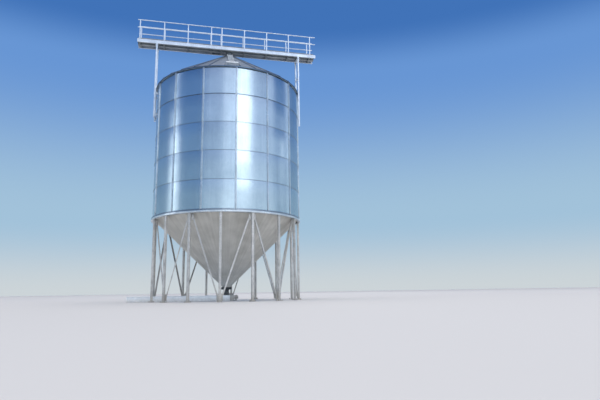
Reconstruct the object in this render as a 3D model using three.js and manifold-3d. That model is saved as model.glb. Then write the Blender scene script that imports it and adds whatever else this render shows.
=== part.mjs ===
// A galvanised grain silo with a hopper bottom: a round wall of five bolted rings on a ring beam,
// sixteen legs with zigzag bracing, a conical roof, a discharge conveyor under the outlet, and the
// stretch of overhead walkway and conveyor that the silo carries on two pairs of posts.
// Millimetres, +Z up. The origin is on the ground at the silo's axis, and the walkway runs along X.
import * as THREE from "three";
import { mergeVertices } from "three/addons/utils/BufferGeometryUtils.js";
import Module from "manifold-3d";

// Driving dimensions of the silo
const SHEETS = 15; // sheets round the wall, and as many seams
const SHEET_FLATS = 4; // flats to each sheet
const FIRST_SEAM = 1; // degrees from -Y towards +X, as are all angles here
const FACETS = 64; // flats round every other ring and cone
const FIRST_CORNER = 2.25;
const WALL_R = 3430;
const WALL_THICK = 12;
const RINGS = 5;
const RING_HEIGHT = 1250;
const WALL_FOOT = 3750;
const RIB_PROUD = 40; // stiffener over each vertical seam
const RIB_WIDTH = 50;
const ROOF_SLOPE = 33; // degrees
const ROOF_R = 3488;
const ROOF_LIP = 40;
const ROOF_THICK = 14;
const ROOF_HOLE_R = 300;
const NECK_R = 150;
const NECK_TOP = 12355;
const SPOUT_R = 115;
const SPOUT_WALL = 25; // measured level, and about 10 through the slanted wall
const ROOF_ACCESS = -2; // degrees, the line of the roof's hatch and ladder
const HATCH_R = 3050;
const HATCH_WIDTH = 560;
const HATCH_LENGTH = 420;
const HATCH_HEIGHT = 95;
const LADDER_TOP_R = 440;
const LADDER_WIDTH = 240;
const LADDER_STAND = 40; // clear of the roof
const LADDER_BAR = 50;
const LADDER_PLATE = 12;
const RUNG = 24;
const RUNG_STEP = 280;
const GAP = 0.3; // left between touching pieces

// Driving dimensions of the base
const LEGS = 16;
const FIRST_LEG = -9;
const LEG_WIDTH = 100;
const LEG_R = WALL_R - LEG_WIDTH / 2; // the legs' outer faces are flush with the wall
const BASE_PLATE = 220;
const BASE_THICK = 20;
const RING_BEAM_R = 3480;
const RING_BEAM_HEIGHT = 130;
const RING_BEAM_FLANGE = 135;
const RING_BEAM_PLATE = 12;
const BRACE_FLANGE = 60;
const BRACE_PLATE = 8;
const HOPPER_FOOT_R = 170;
const HOPPER_FOOT = 620;
const HOPPER_THICK = 12;
const OUTLET_CONE_TOP = 1060; // the hopper's sheets end here on the small outlet cone
const GATE_SIZE = 440;
const GATE_HEIGHT = 110;
const CHUTE_SIZE = 260;
const CONVEYOR_WIDTH = 300;
const CONVEYOR_HEIGHT = 250;
const CONVEYOR_LEFT = -4400;
const CONVEYOR_RIGHT = 160;

// Driving dimensions of the walkway
const WALKWAY_HALF = 4450;
const DECK_TOP = 12520;
const BEAM_TOP = 12530;
const BEAM_HEIGHT = 160;
const BEAM_THICK = 50;
const BEAM_OUTER = 350; // from the walkway's middle to a side beam's outer face
const BAY = 1140;
const FIRST_POST = -4340;
const SPLICE_BAYS = 3; // whole bays before the splice
const SPLICE_WIDTH = 518;
const POSTS = 9;
const RAIL_HEIGHT = 1030;
const MID_RAIL = 610;
const RAIL_SIZE = 42;
const POST_SIZE = 50;
const CROSS_SIZE = 60;
const DECK_THICK = 30;
const DECK_EDGE = 40; // the deck's edge beside the conveyor
const TROUGH_FRONT = 50;
const TROUGH_WIDTH = 220;
const TROUGH_HEIGHT = 350;
const SUPPORT_X = 3530;
const SUPPORT_Y = 310;
const SUPPORT_SIZE = 80;
const SUPPORT_FOOT = 8600;
const BRACKET_WIDTH = 60;

const WALL_TOP = WALL_FOOT + RINGS * RING_HEIGHT;
const BEAM_FOOT = BEAM_TOP - BEAM_HEIGHT;
const CROSS_TOP = BEAM_FOOT + CROSS_SIZE;
const SLOPE = Math.tan(THREE.MathUtils.degToRad(ROOF_SLOPE));
const SPLICE_X = FIRST_POST + SPLICE_BAYS * BAY + SPLICE_WIDTH / 2;

const colours = {
  galvanised: { color: 0xb9c9dc, roughness: 0.32, metalness: 0.9 },
  roofSheet: { color: 0x9fb1c6, roughness: 0.4, metalness: 0.9 },
  dullZinc: { color: 0x96958f, roughness: 0.7, metalness: 0.5 },
  legSteel: { color: 0xc8cdcc, roughness: 0.5, metalness: 0.7 },
  walkwaySteel: { color: 0xd3dae8, roughness: 0.5, metalness: 0.7 },
  grating: { color: 0x8c8c82, roughness: 0.6, metalness: 0.6 },
  darkSteel: { color: 0x3c4046, roughness: 0.6, metalness: 0.6 },
};
const silo = new THREE.Group();

const wasm = await Module();
wasm.setup();

// Joining and cutting closed geometries.

function solid(geometry) {
  const bare = geometry.clone();
  bare.deleteAttribute("normal");
  bare.deleteAttribute("uv");
  const merged = mergeVertices(bare, 1e-3);
  return new wasm.Manifold(
    new wasm.Mesh({
      numProp: 3,
      vertProperties: merged.attributes.position.array,
      triVerts: new Uint32Array(merged.index.array),
    }),
  );
}

function geometryOf(body) {
  const mesh = body.getMesh();
  const geometry = new THREE.BufferGeometry();
  geometry.setAttribute("position", new THREE.BufferAttribute(mesh.vertProperties, 3));
  geometry.setIndex(new THREE.BufferAttribute(mesh.triVerts, 1));
  geometry.computeVertexNormals();
  return geometry;
}

function join(...geometries) {
  return geometryOf(geometries.map(solid).reduce((a, b) => a.add(b)));
}

function cut(geometry, tool) {
  return geometryOf(solid(geometry).subtract(solid(tool)));
}

// Shapes that the pieces are made of.

function block(x, y, z) {
  const geometry = new THREE.BoxGeometry(x[1] - x[0], y[1] - y[0], z[1] - z[0]);
  return geometry.translate((x[0] + x[1]) / 2, (y[0] + y[1]) / 2, (z[0] + z[1]) / 2);
}

// A closed profile of [radius, height] points, listed counter-clockwise, turned about Z.
function turned(profile, facets = FACETS) {
  const points = [...profile, profile[0]].map(([r, z]) => new THREE.Vector2(r, z));
  const start = THREE.MathUtils.degToRad(FIRST_CORNER);
  return new THREE.LatheGeometry(points, facets, start, 2 * Math.PI).rotateX(Math.PI / 2);
}

function tube(outer, inner, foot, top, facets = 24) {
  return turned([[inner, foot], [outer, foot], [outer, top], [inner, top]], facets);
}

function onCircle(radius, degrees) {
  const angle = THREE.MathUtils.degToRad(degrees);
  return new THREE.Vector2(radius * Math.sin(angle), -radius * Math.cos(angle));
}

function add(name, geometry, look, turn = 0) {
  const mesh = new THREE.Mesh(geometry, new THREE.MeshStandardMaterial(colours[look]));
  mesh.name = name;
  mesh.rotation.z = THREE.MathUtils.degToRad(turn);
  silo.add(mesh);
}

// Wall: each ring is a band of fifteen sheets with a stiffener over every vertical seam.

const wallFlats = SHEETS * SHEET_FLATS;

function wallOutline(grown = 0) {
  const radius = WALL_R + grown;
  const halfRib = THREE.MathUtils.radToDeg((RIB_WIDTH / 2 + grown) / WALL_R);
  const points = [];
  for (let corner = 0; corner < wallFlats; corner++) {
    const at = FIRST_SEAM + (360 / wallFlats) * corner;
    if (corner % SHEET_FLATS === 0) {
      points.push(onCircle(radius, at - halfRib), onCircle(radius + RIB_PROUD, at - halfRib));
      points.push(onCircle(radius + RIB_PROUD, at + halfRib), onCircle(radius, at + halfRib));
    } else points.push(onCircle(radius, at));
  }
  return points;
}

function wallInside() {
  const points = [];
  for (let corner = 0; corner < wallFlats; corner++) {
    points.push(onCircle(WALL_R - WALL_THICK, FIRST_SEAM + (360 / wallFlats) * corner));
  }
  return points;
}

for (let ring = 0; ring < RINGS; ring++) {
  const shape = new THREE.Shape(wallOutline());
  shape.holes.push(new THREE.Path(wallInside()));
  const band = new THREE.ExtrudeGeometry(shape, { depth: RING_HEIGHT - GAP, bevelEnabled: false });
  band.translate(0, 0, WALL_FOOT + ring * RING_HEIGHT + GAP);
  add(`shell_ring_${ring + 1}`, band, "galvanised");
}

// Ring beam: a channel with its web outside, under the wall and on the legs.
const beamFoot = WALL_FOOT - RING_BEAM_HEIGHT;
const webInside = RING_BEAM_R - RING_BEAM_PLATE;
const flangeTip = RING_BEAM_R - RING_BEAM_FLANGE;
const ringBeam = turned([
  [flangeTip, beamFoot],
  [RING_BEAM_R, beamFoot],
  [RING_BEAM_R, WALL_FOOT],
  [flangeTip, WALL_FOOT],
  [flangeTip, WALL_FOOT - RING_BEAM_PLATE],
  [webInside, WALL_FOOT - RING_BEAM_PLATE],
  [webInside, beamFoot + RING_BEAM_PLATE],
  [flangeTip, beamFoot + RING_BEAM_PLATE],
]);
add("ring_beam", ringBeam, "legSteel");

// Eave ring on the wall's top edge, and the roof cone on it with its lip turned down outside.
const eaveInner = WALL_R - 25;
const eaveOuter = WALL_R + 25;
const eaveTop = WALL_TOP + 30;
add("eave_ring", tube(eaveOuter, eaveInner, WALL_TOP + GAP, eaveTop, FACETS), "roofSheet");

const lipInside = ROOF_R - 8;
const roofUnder = (radius) => eaveTop + GAP + (eaveOuter - radius) * SLOPE;
const lipFoot = roofUnder(ROOF_R) + ROOF_THICK - ROOF_LIP;
const roofCone = turned([
  [ROOF_HOLE_R, roofUnder(ROOF_HOLE_R)],
  [lipInside, roofUnder(lipInside)],
  [lipInside, lipFoot],
  [ROOF_R, lipFoot],
  [ROOF_R, roofUnder(ROOF_R) + ROOF_THICK],
  [ROOF_HOLE_R, roofUnder(ROOF_HOLE_R) + ROOF_THICK],
]);
add("roof_cone", roofCone, "roofSheet");

// Roof collar: a low cone over the roof's hole, with the filling neck on it.
const collarR = ROOF_HOLE_R + 60;
const collarUnder = (radius) => roofUnder(radius) + ROOF_THICK + GAP * 1.3;
const collarThick = 13;
const roofCollar = turned([
  [NECK_R - 10, collarUnder(NECK_R - 10)],
  [collarR, collarUnder(collarR)],
  [collarR, collarUnder(collarR) + collarThick],
  [NECK_R, collarUnder(NECK_R) + collarThick],
  [NECK_R, NECK_TOP],
  [SPOUT_R - SPOUT_WALL, NECK_TOP],
  [SPOUT_R - SPOUT_WALL, NECK_TOP - 10],
  [NECK_R - 10, NECK_TOP - 10],
]);
add("roof_collar", roofCollar, "roofSheet");

// Roof access: a closed hatch near the eave, and a ladder that lies on the slope above it.
const overRoof = turned([
  [NECK_R, WALL_TOP],
  [ROOF_R, WALL_TOP],
  [ROOF_R, collarUnder(ROOF_R)],
  [NECK_R, collarUnder(NECK_R)],
]);

// Lays a geometry on the roof, with its Y running up the slope from the hatch's middle, and cuts it
// to the roof's surface.
function onRoof(geometry) {
  geometry.rotateX(THREE.MathUtils.degToRad(ROOF_SLOPE));
  geometry.translate(0, -HATCH_R, roofUnder(HATCH_R) + ROOF_THICK);
  geometry.rotateZ(THREE.MathUtils.degToRad(ROOF_ACCESS));
  return cut(geometry, overRoof);
}

const belowRoof = -60;
const lidEdge = 20; // the lid stands out this far over the curb
const halfHatch = { x: HATCH_WIDTH / 2, y: HATCH_LENGTH / 2 };
const hatch = join(
  block(
    [lidEdge - halfHatch.x, halfHatch.x - lidEdge],
    [lidEdge - halfHatch.y, halfHatch.y - lidEdge],
    [belowRoof, HATCH_HEIGHT - 5],
  ),
  block([-halfHatch.x, halfHatch.x], [-halfHatch.y, halfHatch.y], [HATCH_HEIGHT - 30, HATCH_HEIGHT]),
);
add("roof_hatch", onRoof(hatch), "walkwaySteel");

function ladder() {
  const foot = halfHatch.y + 60;
  const top = (HATCH_R - LADDER_TOP_R) * Math.hypot(1, SLOPE);
  const half = LADDER_WIDTH / 2;
  const bar = [LADDER_STAND, LADDER_STAND + LADDER_BAR];
  const pieces = [];
  for (const x of [[-half, LADDER_PLATE - half], [half - LADDER_PLATE, half]]) {
    pieces.push(block(x, [foot, top], bar));
    for (const y of [foot + 80, (foot + top) / 2, top - 80]) {
      pieces.push(block(x, [y - 20, y + 20], [belowRoof, LADDER_STAND + 5]));
    }
  }
  const rungs = Math.floor((top - foot - 80) / RUNG_STEP);
  for (let i = 0; i <= rungs; i++) {
    const y = foot + 40 + i * RUNG_STEP;
    const middle = LADDER_STAND + LADDER_BAR / 2;
    pieces.push(block([2 - half, half - 2], [y, y + RUNG], [middle - RUNG / 2, middle + RUNG / 2]));
  }
  return join(...pieces);
}

add("roof_ladder", onRoof(ladder()), "walkwaySteel");

// Hopper: a cone that hangs by its rim inside the ring beam's flanges, with a small outlet cone
// under it where its sheets would come to a point.
const rimR = flangeTip - GAP;
const rimFoot = WALL_FOOT - 60;
const hopperInside = HOPPER_THICK * Math.SQRT2;
const hopperFlare = (rimR - HOPPER_FOOT_R) / (rimFoot - HOPPER_FOOT);
const hopperOuter = (height) => HOPPER_FOOT_R + (height - HOPPER_FOOT) * hopperFlare;
const hopperInner = (height) => hopperOuter(height - hopperInside);
const sheetsFoot = OUTLET_CONE_TOP + GAP;
const hopperCone = turned([
  [hopperOuter(sheetsFoot), sheetsFoot],
  [rimR, rimFoot],
  [rimR, WALL_FOOT - 1],
  [rimR - HOPPER_THICK, WALL_FOOT - 1],
  [rimR - HOPPER_THICK, rimFoot + hopperInside - HOPPER_THICK / hopperFlare],
  [hopperInner(sheetsFoot), sheetsFoot],
]);
add("hopper_cone", hopperCone, "dullZinc");
const outletCone = turned([
  [HOPPER_FOOT_R - HOPPER_THICK, HOPPER_FOOT],
  [HOPPER_FOOT_R, HOPPER_FOOT],
  [hopperOuter(OUTLET_CONE_TOP), OUTLET_CONE_TOP],
  [hopperInner(OUTLET_CONE_TOP), OUTLET_CONE_TOP],
]);
add("outlet_cone", outletCone, "dullZinc");

// Outlet: a closed slide gate under the hopper, and the chute from it to the conveyor.
const gateTop = HOPPER_FOOT - GAP;
const gateFoot = gateTop - GATE_HEIGHT;
const gateHalf = GATE_SIZE / 2;
const gate = join(
  block([-gateHalf, gateHalf], [-gateHalf, gateHalf], [gateFoot, gateTop]),
  block([-60, 60], [-gateHalf - 260, -gateHalf + 10], [gateFoot + 45, gateFoot + 65]),
  block([-90, 90], [-gateHalf - 280, -gateHalf - 255], [gateFoot + 30, gateFoot + 80]),
);
add("outlet_gate", gate, "darkSteel");
const chuteHalf = CHUTE_SIZE / 2;
const chuteSide = [-chuteHalf, chuteHalf];
const chute = block(chuteSide, chuteSide, [CONVEYOR_HEIGHT + GAP, gateFoot - GAP]);
add("outlet_chute", chute, "darkSteel");

// Legs: square posts with a base plate and a head plate. The odd ones have a gusset at the head,
// which the braces' top ends lie against.

const legTop = beamFoot - GAP;
const legInside = LEG_R - LEG_WIDTH / 2;
const gussetFace = legInside - 12;

function leg(withGusset) {
  const half = LEG_WIDTH / 2;
  const plateHalf = BASE_PLATE / 2;
  const pieces = [
    block([-half, half], [-LEG_R - half, -LEG_R + half], [BASE_THICK / 2, legTop]),
    block([-plateHalf, plateHalf], [-LEG_R - plateHalf, -LEG_R + plateHalf], [0, BASE_THICK]),
    block([-75, 75], [-LEG_R - half, -LEG_R + half], [legTop - 15, legTop]),
  ];
  if (withGusset) {
    pieces.push(block([-150, 150], [-legInside - 5, -gussetFace], [legTop - 290, legTop - 10]));
  }
  return join(...pieces);
}

for (let i = 0; i < LEGS; i++) {
  add(`leg_${i + 1}`, leg(i % 2 === 1), "legSteel", FIRST_LEG + (360 / LEGS) * i);
}

// Braces: angle bars that zigzag round the legs, from the foot of each even leg to the heads of its
// neighbours. Each bar has a foot plate on its even leg and a small plate on the next leg's gusset.

const angleSection = new THREE.Shape([
  new THREE.Vector2(-BRACE_FLANGE / 2, -BRACE_PLATE / 2),
  new THREE.Vector2(BRACE_FLANGE / 2, -BRACE_PLATE / 2),
  new THREE.Vector2(BRACE_FLANGE / 2, BRACE_PLATE / 2),
  new THREE.Vector2(-BRACE_FLANGE / 2 + BRACE_PLATE, BRACE_PLATE / 2),
  new THREE.Vector2(-BRACE_FLANGE / 2 + BRACE_PLATE, BRACE_FLANGE - BRACE_PLATE / 2),
  new THREE.Vector2(-BRACE_FLANGE / 2, BRACE_FLANGE - BRACE_PLATE / 2),
]);

// An angle bar between two points, its flat flange facing outwards.
function angleBar(from, to) {
  const along = new THREE.Vector3().subVectors(to, from);
  const bar = new THREE.ExtrudeGeometry(angleSection, { depth: along.length(), bevelEnabled: false });
  const direction = along.normalize();
  const chord = new THREE.Vector3(to.x - from.x, to.y - from.y, 0).normalize();
  const inward = new THREE.Vector3(-chord.y, chord.x, 0);
  if (inward.y < 0) inward.negate();
  const across = new THREE.Vector3().crossVectors(inward, direction);
  bar.applyMatrix4(new THREE.Matrix4().makeBasis(across, inward, direction));
  return bar.translate(from.x, from.y, from.z);
}

const FOOT_OFFSET = 70; // from the leg's middle to a brace's axis
const TOP_OFFSET = 95;
const BRACE_FOOT = 150;

function brace(side) {
  const step = 360 / LEGS;
  const footR = legInside - 14;
  const topR = gussetFace - 12;
  const slant = (radius, offset) => THREE.MathUtils.radToDeg(offset / radius);
  const sideways = (a, b) => (side > 0 ? [a, b] : [-b, -a]);
  const from = onCircle(footR, side * slant(footR, FOOT_OFFSET));
  const to = onCircle(topR, side * (step - slant(topR, TOP_OFFSET)));
  const bar = angleBar(
    new THREE.Vector3(from.x, from.y, BRACE_FOOT),
    new THREE.Vector3(to.x, to.y, legTop - 100),
  );
  const footPlate = block(sideways(5, 130), [-legInside + GAP, -legInside + 16], [60, 330]);
  const topX = sideways(-TOP_OFFSET - 50, -TOP_OFFSET + 50);
  const topPlate = block(topX, [-gussetFace + GAP, -gussetFace + 14], [legTop - 250, legTop - 50]);
  topPlate.rotateZ(THREE.MathUtils.degToRad(side * step));
  return join(bar, footPlate, topPlate);
}

for (let i = 0; i < LEGS; i++) {
  const evenLeg = 2 * Math.floor(i / 2);
  const side = i % 2 === 0 ? -1 : 1;
  add(`brace_${i + 1}`, brace(side), "legSteel", FIRST_LEG + (360 / LEGS) * evenLeg);
}

// Discharge conveyor on the ground, with its lid, and the drive at its end.
const conveyorHalf = CONVEYOR_WIDTH / 2;
const conveyorRun = [CONVEYOR_LEFT, CONVEYOR_RIGHT];
const conveyor = join(
  block(conveyorRun, [-conveyorHalf + 25, conveyorHalf - 25], [0, CONVEYOR_HEIGHT - 5]),
  block(conveyorRun, [-conveyorHalf, conveyorHalf], [CONVEYOR_HEIGHT - 20, CONVEYOR_HEIGHT]),
);
add("discharge_conveyor", conveyor, "walkwaySteel");
const motor = new THREE.CylinderGeometry(80, 80, 200, 16).rotateZ(Math.PI / 2).translate(450, 0, 160);
const drive = join(
  block([CONVEYOR_RIGHT + GAP, 360], [-110, 110], [10, 240]),
  block([CONVEYOR_RIGHT + 20, 500], [-90, 90], [0, 20]),
  block([420, 480], [-40, 40], [10, 120]),
  motor,
);
add("conveyor_drive", drive, "legSteel");

// Walkway: two lengths of frame with their decks, spliced between the fourth and fifth posts.

function postX(index) {
  const past = index > SPLICE_BAYS ? SPLICE_WIDTH - BAY : 0;
  return FIRST_POST + BAY * index + past;
}

const decks = [
  { side: "left", from: -WALKWAY_HALF, to: SPLICE_X - GAP / 2 },
  { side: "right", from: SPLICE_X + GAP / 2, to: WALKWAY_HALF },
];

for (const { side, from, to } of decks) {
  const inner = BEAM_OUTER - BEAM_THICK;
  const pieces = [
    block([from, to], [-BEAM_OUTER, -inner], [BEAM_FOOT, BEAM_TOP]),
    block([from, to], [inner, BEAM_OUTER], [BEAM_FOOT, BEAM_TOP]),
    block([from, to], [-inner - 5, -inner + 30], [DECK_TOP - DECK_THICK - 30, DECK_TOP - DECK_THICK - GAP]),
    block([from, to], [DECK_EDGE - 30, DECK_EDGE], [CROSS_TOP - 2, DECK_TOP - DECK_THICK - GAP]),
  ];
  for (let i = 0; i < POSTS; i++) {
    const x = postX(i);
    if (x < from || x > to) continue;
    const half = CROSS_SIZE / 2;
    pieces.push(block([x - half, x + half], [-inner - 5, inner + 5], [BEAM_FOOT, CROSS_TOP]));
  }
  add(`walkway_frame_${side}`, join(...pieces), "walkwaySteel");
  const deck = block([from, to], [-inner + GAP, DECK_EDGE], [DECK_TOP - DECK_THICK, DECK_TOP]);
  add(`walkway_deck_${side}`, deck, "grating");
}

// Railings on the side beams: posts, a top rail and a middle rail.

function railing(y) {
  const half = RAIL_SIZE / 2;
  const postHalf = POST_SIZE / 2;
  const foot = BEAM_TOP + GAP;
  const railTop = BEAM_TOP + RAIL_HEIGHT;
  const from = -WALKWAY_HALF;
  const to = WALKWAY_HALF;
  const pieces = [
    block([from, to], [y - half, y + half], [railTop - RAIL_SIZE, railTop]),
    block([from, to], [y - half, y + half], [BEAM_TOP + MID_RAIL - half, BEAM_TOP + MID_RAIL + half]),
  ];
  for (let i = 0; i < POSTS; i++) {
    const x = postX(i);
    pieces.push(block([x - postHalf, x + postHalf], [y - postHalf, y + postHalf], [foot, railTop - 5]));
  }
  return join(...pieces);
}

const railY = BEAM_OUTER - BEAM_THICK / 2;
add("railing_front", railing(-railY), "walkwaySteel");
add("railing_rear", railing(railY), "walkwaySteel");

// Filling conveyor beside the deck, and the slanted spout from it to the roof's neck.
const troughFoot = CROSS_TOP + GAP;
const troughBack = TROUGH_FRONT + TROUGH_WIDTH;
const lidFoot = troughFoot + TROUGH_HEIGHT - 20;
const trough = join(
  block([-WALKWAY_HALF, WALKWAY_HALF], [TROUGH_FRONT, troughBack], [troughFoot, lidFoot + 5]),
  block([-WALKWAY_HALF, WALKWAY_HALF], [TROUGH_FRONT - 20, troughBack + 20], [lidFoot, lidFoot + 20]),
);
add("filling_conveyor", trough, "walkwaySteel");

const spoutHeight = troughFoot - NECK_TOP - 2 * GAP;
const spoutShift = TROUGH_FRONT + TROUGH_WIDTH / 2;
const spout = tube(SPOUT_R, SPOUT_R - SPOUT_WALL, 0, spoutHeight);
spout.applyMatrix4(new THREE.Matrix4().makeShear(0, 0, 0, 0, 0, spoutShift / spoutHeight));
spout.translate(0, 0, NECK_TOP + GAP);
add("inlet_spout", spout, "dullZinc");

// Walkway supports: a pair of posts on each side, tied across, with a crosshead under the frame and
// brackets to the wall.

const grownOutline = new THREE.Shape(wallOutline(GAP));
const grownWall = new THREE.ExtrudeGeometry(grownOutline, { depth: WALL_TOP, bevelEnabled: false });

function walkwaySupport(side) {
  const half = SUPPORT_SIZE / 2;
  const halfBracket = BRACKET_WIDTH / 2;
  const top = BEAM_FOOT - GAP;
  const x = side * SUPPORT_X;
  const outward = (a, b) => (side > 0 ? [a, b] : [-b, -a]);
  const pieces = [block([x - half, x + half], [-BEAM_OUTER, BEAM_OUTER], [top - 80, top])];
  for (const y of [-SUPPORT_Y, SUPPORT_Y]) {
    pieces.push(block([x - half, x + half], [y - half, y + half], [SUPPORT_FOOT, top - 5]));
    for (const z of [SUPPORT_FOOT + 150, WALL_TOP - 200]) {
      const reach = outward(WALL_R - 60, SUPPORT_X);
      const bracket = block(reach, [y - halfBracket, y + halfBracket], [z - 50, z + 50]);
      pieces.push(cut(bracket, grownWall));
    }
  }
  for (const z of [SUPPORT_FOOT + 150, WALL_TOP + 300, WALL_TOP + 1250]) {
    pieces.push(block([x - 25, x + 25], [-SUPPORT_Y, SUPPORT_Y], [z - 25, z + 25]));
  }
  return join(...pieces);
}

add("walkway_support_left", walkwaySupport(-1), "walkwaySteel");
add("walkway_support_right", walkwaySupport(1), "walkwaySteel");

export default silo;
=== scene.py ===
from math import atan2, cos, hypot, pi, radians, sin, tan

import bmesh
import bpy
from mathutils import Matrix, Vector


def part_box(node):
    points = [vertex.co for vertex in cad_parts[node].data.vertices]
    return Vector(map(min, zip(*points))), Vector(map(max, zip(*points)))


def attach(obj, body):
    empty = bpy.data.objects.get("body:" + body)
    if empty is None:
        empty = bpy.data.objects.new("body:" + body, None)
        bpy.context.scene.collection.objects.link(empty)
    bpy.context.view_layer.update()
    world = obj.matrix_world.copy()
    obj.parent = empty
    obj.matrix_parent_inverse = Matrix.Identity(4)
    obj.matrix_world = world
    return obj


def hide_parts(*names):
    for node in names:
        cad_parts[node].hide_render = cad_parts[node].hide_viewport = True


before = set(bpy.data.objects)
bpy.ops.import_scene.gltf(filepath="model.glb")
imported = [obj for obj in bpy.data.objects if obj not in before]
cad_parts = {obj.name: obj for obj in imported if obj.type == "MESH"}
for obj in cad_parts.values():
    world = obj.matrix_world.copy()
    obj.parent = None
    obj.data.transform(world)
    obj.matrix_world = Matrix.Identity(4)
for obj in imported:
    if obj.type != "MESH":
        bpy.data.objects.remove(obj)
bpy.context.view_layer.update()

# Legs: sixteen square hollow sections, each welded between a base plate on four anchor bolts and
# a head plate bolted up to the ring beam. They are dipped in molten zinc after welding. Every
# second leg carries a gusset at its head, which the braces' top ends are bolted to.
LEGS = 16
STEP = 2 * pi / LEGS
FIRST_LEG = radians(-9)  # angles go from -Y towards +X
LEG_R = 3.38
LEG_WIDTH = 0.1
LEG_CORNER = 0.012
BASE_PLATE, BASE_THICK = 0.22, 0.02
RIB_THICK, FRONT_RIB_TOP, SIDE_RIB_TOP = 0.008, 0.11, 0.09
ANCHOR_AT, ANCHOR_NUT, ANCHOR_ROD, ANCHOR_TALL = 0.085, 0.03, 0.01, 0.045
HEAD_PLATE, HEAD_THICK = 0.15, 0.015
CLEAT_THICK, CLEAT_LOW, CLEAT_HIGH = 0.012, 0.15, 0.01  # low and high are below the leg's top
GUSSET_WIDE, GUSSET_THICK, GUSSET_LOW, GUSSET_HIGH = 0.3, 0.012, 0.29, 0.01
FRAME_BOLT = 0.024
GUSSET_BOLTS_AT = 0.125
leg_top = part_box("leg_1")[1].z
leg_inside = LEG_R - LEG_WIDTH / 2
gusset_face = leg_inside - GUSSET_THICK


def linear(code):
    """An sRGB hex colour as the linear values that a colour socket takes."""
    channels = [int(code[i:i + 2], 16) / 255 for i in (1, 3, 5)]
    return [c / 12.92 if c < 0.04045 else ((c + 0.055) / 1.055) ** 2.4 for c in channels] + [1]


def add_node(tree, kind, inputs=None, **settings):
    """Adds a node: settings by name, inputs as plain values or as other nodes' outputs."""
    node = tree.nodes.new("ShaderNode" + kind)
    for name, value in settings.items():
        setattr(node, name, value)
    for name, value in (inputs or {}).items():
        if isinstance(value, bpy.types.NodeSocket):
            tree.links.new(value, node.inputs[name])
        else:
            node.inputs[name].default_value = value
    return node


def dipped_zinc(name, pale, deep, crystal, roughness, metallic, dust_top=None):
    """Steel dipped in molten zinc: a satin grey coat of crystals, clouded where the zinc ran off.

    Real crystals are 5 to 20 mm across and too fine to show here, so `crystal` is coarser. Below
    `dust_top` the coat is dulled by splashed soil.
    """
    finish = bpy.data.materials.new(name)
    finish.use_nodes = True
    tree = finish.node_tree
    shader = tree.nodes["Principled BSDF"]
    shader.inputs["Metallic"].default_value = metallic
    where = add_node(tree, "TexCoord").outputs["Object"]
    cells = add_node(tree, "TexVoronoi", {"Vector": where, "Scale": 1 / crystal})
    crystals = add_node(tree, "SeparateColor", {"Color": cells.outputs["Color"]}).outputs[0]
    clouds = add_node(tree, "TexNoise", {"Vector": where, "Scale": 3.1, "Detail": 5}).outputs[0]
    tone = add_node(tree, "Math", {0: crystals, 1: 0.3, 2: clouds}, operation="MULTIPLY_ADD").outputs[0]
    spread = add_node(tree, "MapRange", {0: tone, 1: 0.35, 2: 0.95}).outputs[0]
    colour = add_node(tree, "Mix", {0: spread, 6: linear(pale), 7: linear(deep)}, data_type="RGBA").outputs[2]
    rough = add_node(tree, "MapRange", {0: tone, 1: 0.35, 2: 0.95, 3: roughness - 0.08, 4: roughness + 0.1})
    rough = rough.outputs[0]
    if dust_top:
        height = add_node(tree, "SeparateXYZ", {0: where}).outputs[2]
        rise = add_node(tree, "MapRange", {0: height, 1: 0.0, 2: dust_top, 3: 0.75, 4: 0.0}).outputs[0]
        specks = add_node(tree, "TexNoise", {"Vector": where, "Scale": 14.0, "Detail": 6}).outputs[0]
        dust = add_node(tree, "Math", {0: rise, 1: specks}, operation="MULTIPLY").outputs[0]
        soil = linear("#a59a86")
        colour = add_node(tree, "Mix", {0: dust, 6: colour, 7: soil}, data_type="RGBA").outputs[2]
        rough = add_node(tree, "Math", {0: dust, 1: 0.5, 2: rough}, operation="MULTIPLY_ADD").outputs[0]
    tree.links.new(colour, shader.inputs["Base Color"])
    tree.links.new(rough, shader.inputs["Roughness"])
    drips = add_node(tree, "Mapping", {0: where, 3: (9.0, 9.0, 1.6)}).outputs[0]
    runs = add_node(tree, "TexNoise", {"Vector": drips, "Scale": 4.0, "Detail": 3}).outputs[0]
    relief = add_node(tree, "Math", {0: crystals, 1: 0.35, 2: runs}, operation="MULTIPLY_ADD").outputs[0]
    bump = add_node(tree, "Bump", {"Strength": 0.35, "Distance": 0.002, "Height": relief})
    tree.links.new(bump.outputs[0], shader.inputs["Normal"])
    return finish


def facing(at, out):
    """The turn that stands a shape's Z along `out`, moved to `at`."""
    return Matrix.Translation(at) @ Vector(out).to_track_quat("Z", "Y").to_matrix().to_4x4()


def bar(bm, low, high, edge=0.002, segments=2, place=None, lengthwise=None):
    """A block between two corners with rounded edges, or only those along one axis (0, 1 or 2)."""
    block = bmesh.ops.create_cube(bm, size=1)["verts"]
    size = [b - a for a, b in zip(low, high)]
    bmesh.ops.scale(bm, verts=block, vec=size)
    bmesh.ops.translate(bm, verts=block, vec=[(a + b) / 2 for a, b in zip(low, high)])
    edges = {e for v in block for e in v.link_edges}
    if lengthwise is not None:
        edges = {e for e in edges if abs(e.verts[0].co[lengthwise] - e.verts[1].co[lengthwise]) > 1e-6}
    if place:
        bmesh.ops.transform(bm, matrix=place, verts=block)
    if edge:
        bmesh.ops.bevel(bm, geom=list(edges), offset=edge, segments=segments, profile=0.5,
                        affect="EDGES", material=-1)


def round_bar(bm, start, end, radius, sides=16, tip=None):
    """A round bar or tube between two points, tapering to the radius `tip` if that is given."""
    start = Vector(start)
    along = Vector(end) - start
    bmesh.ops.create_cone(bm, cap_ends=True, segments=sides, radius1=radius, radius2=tip or radius,
                          depth=along.length, matrix=facing(start + along / 2, along))


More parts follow.
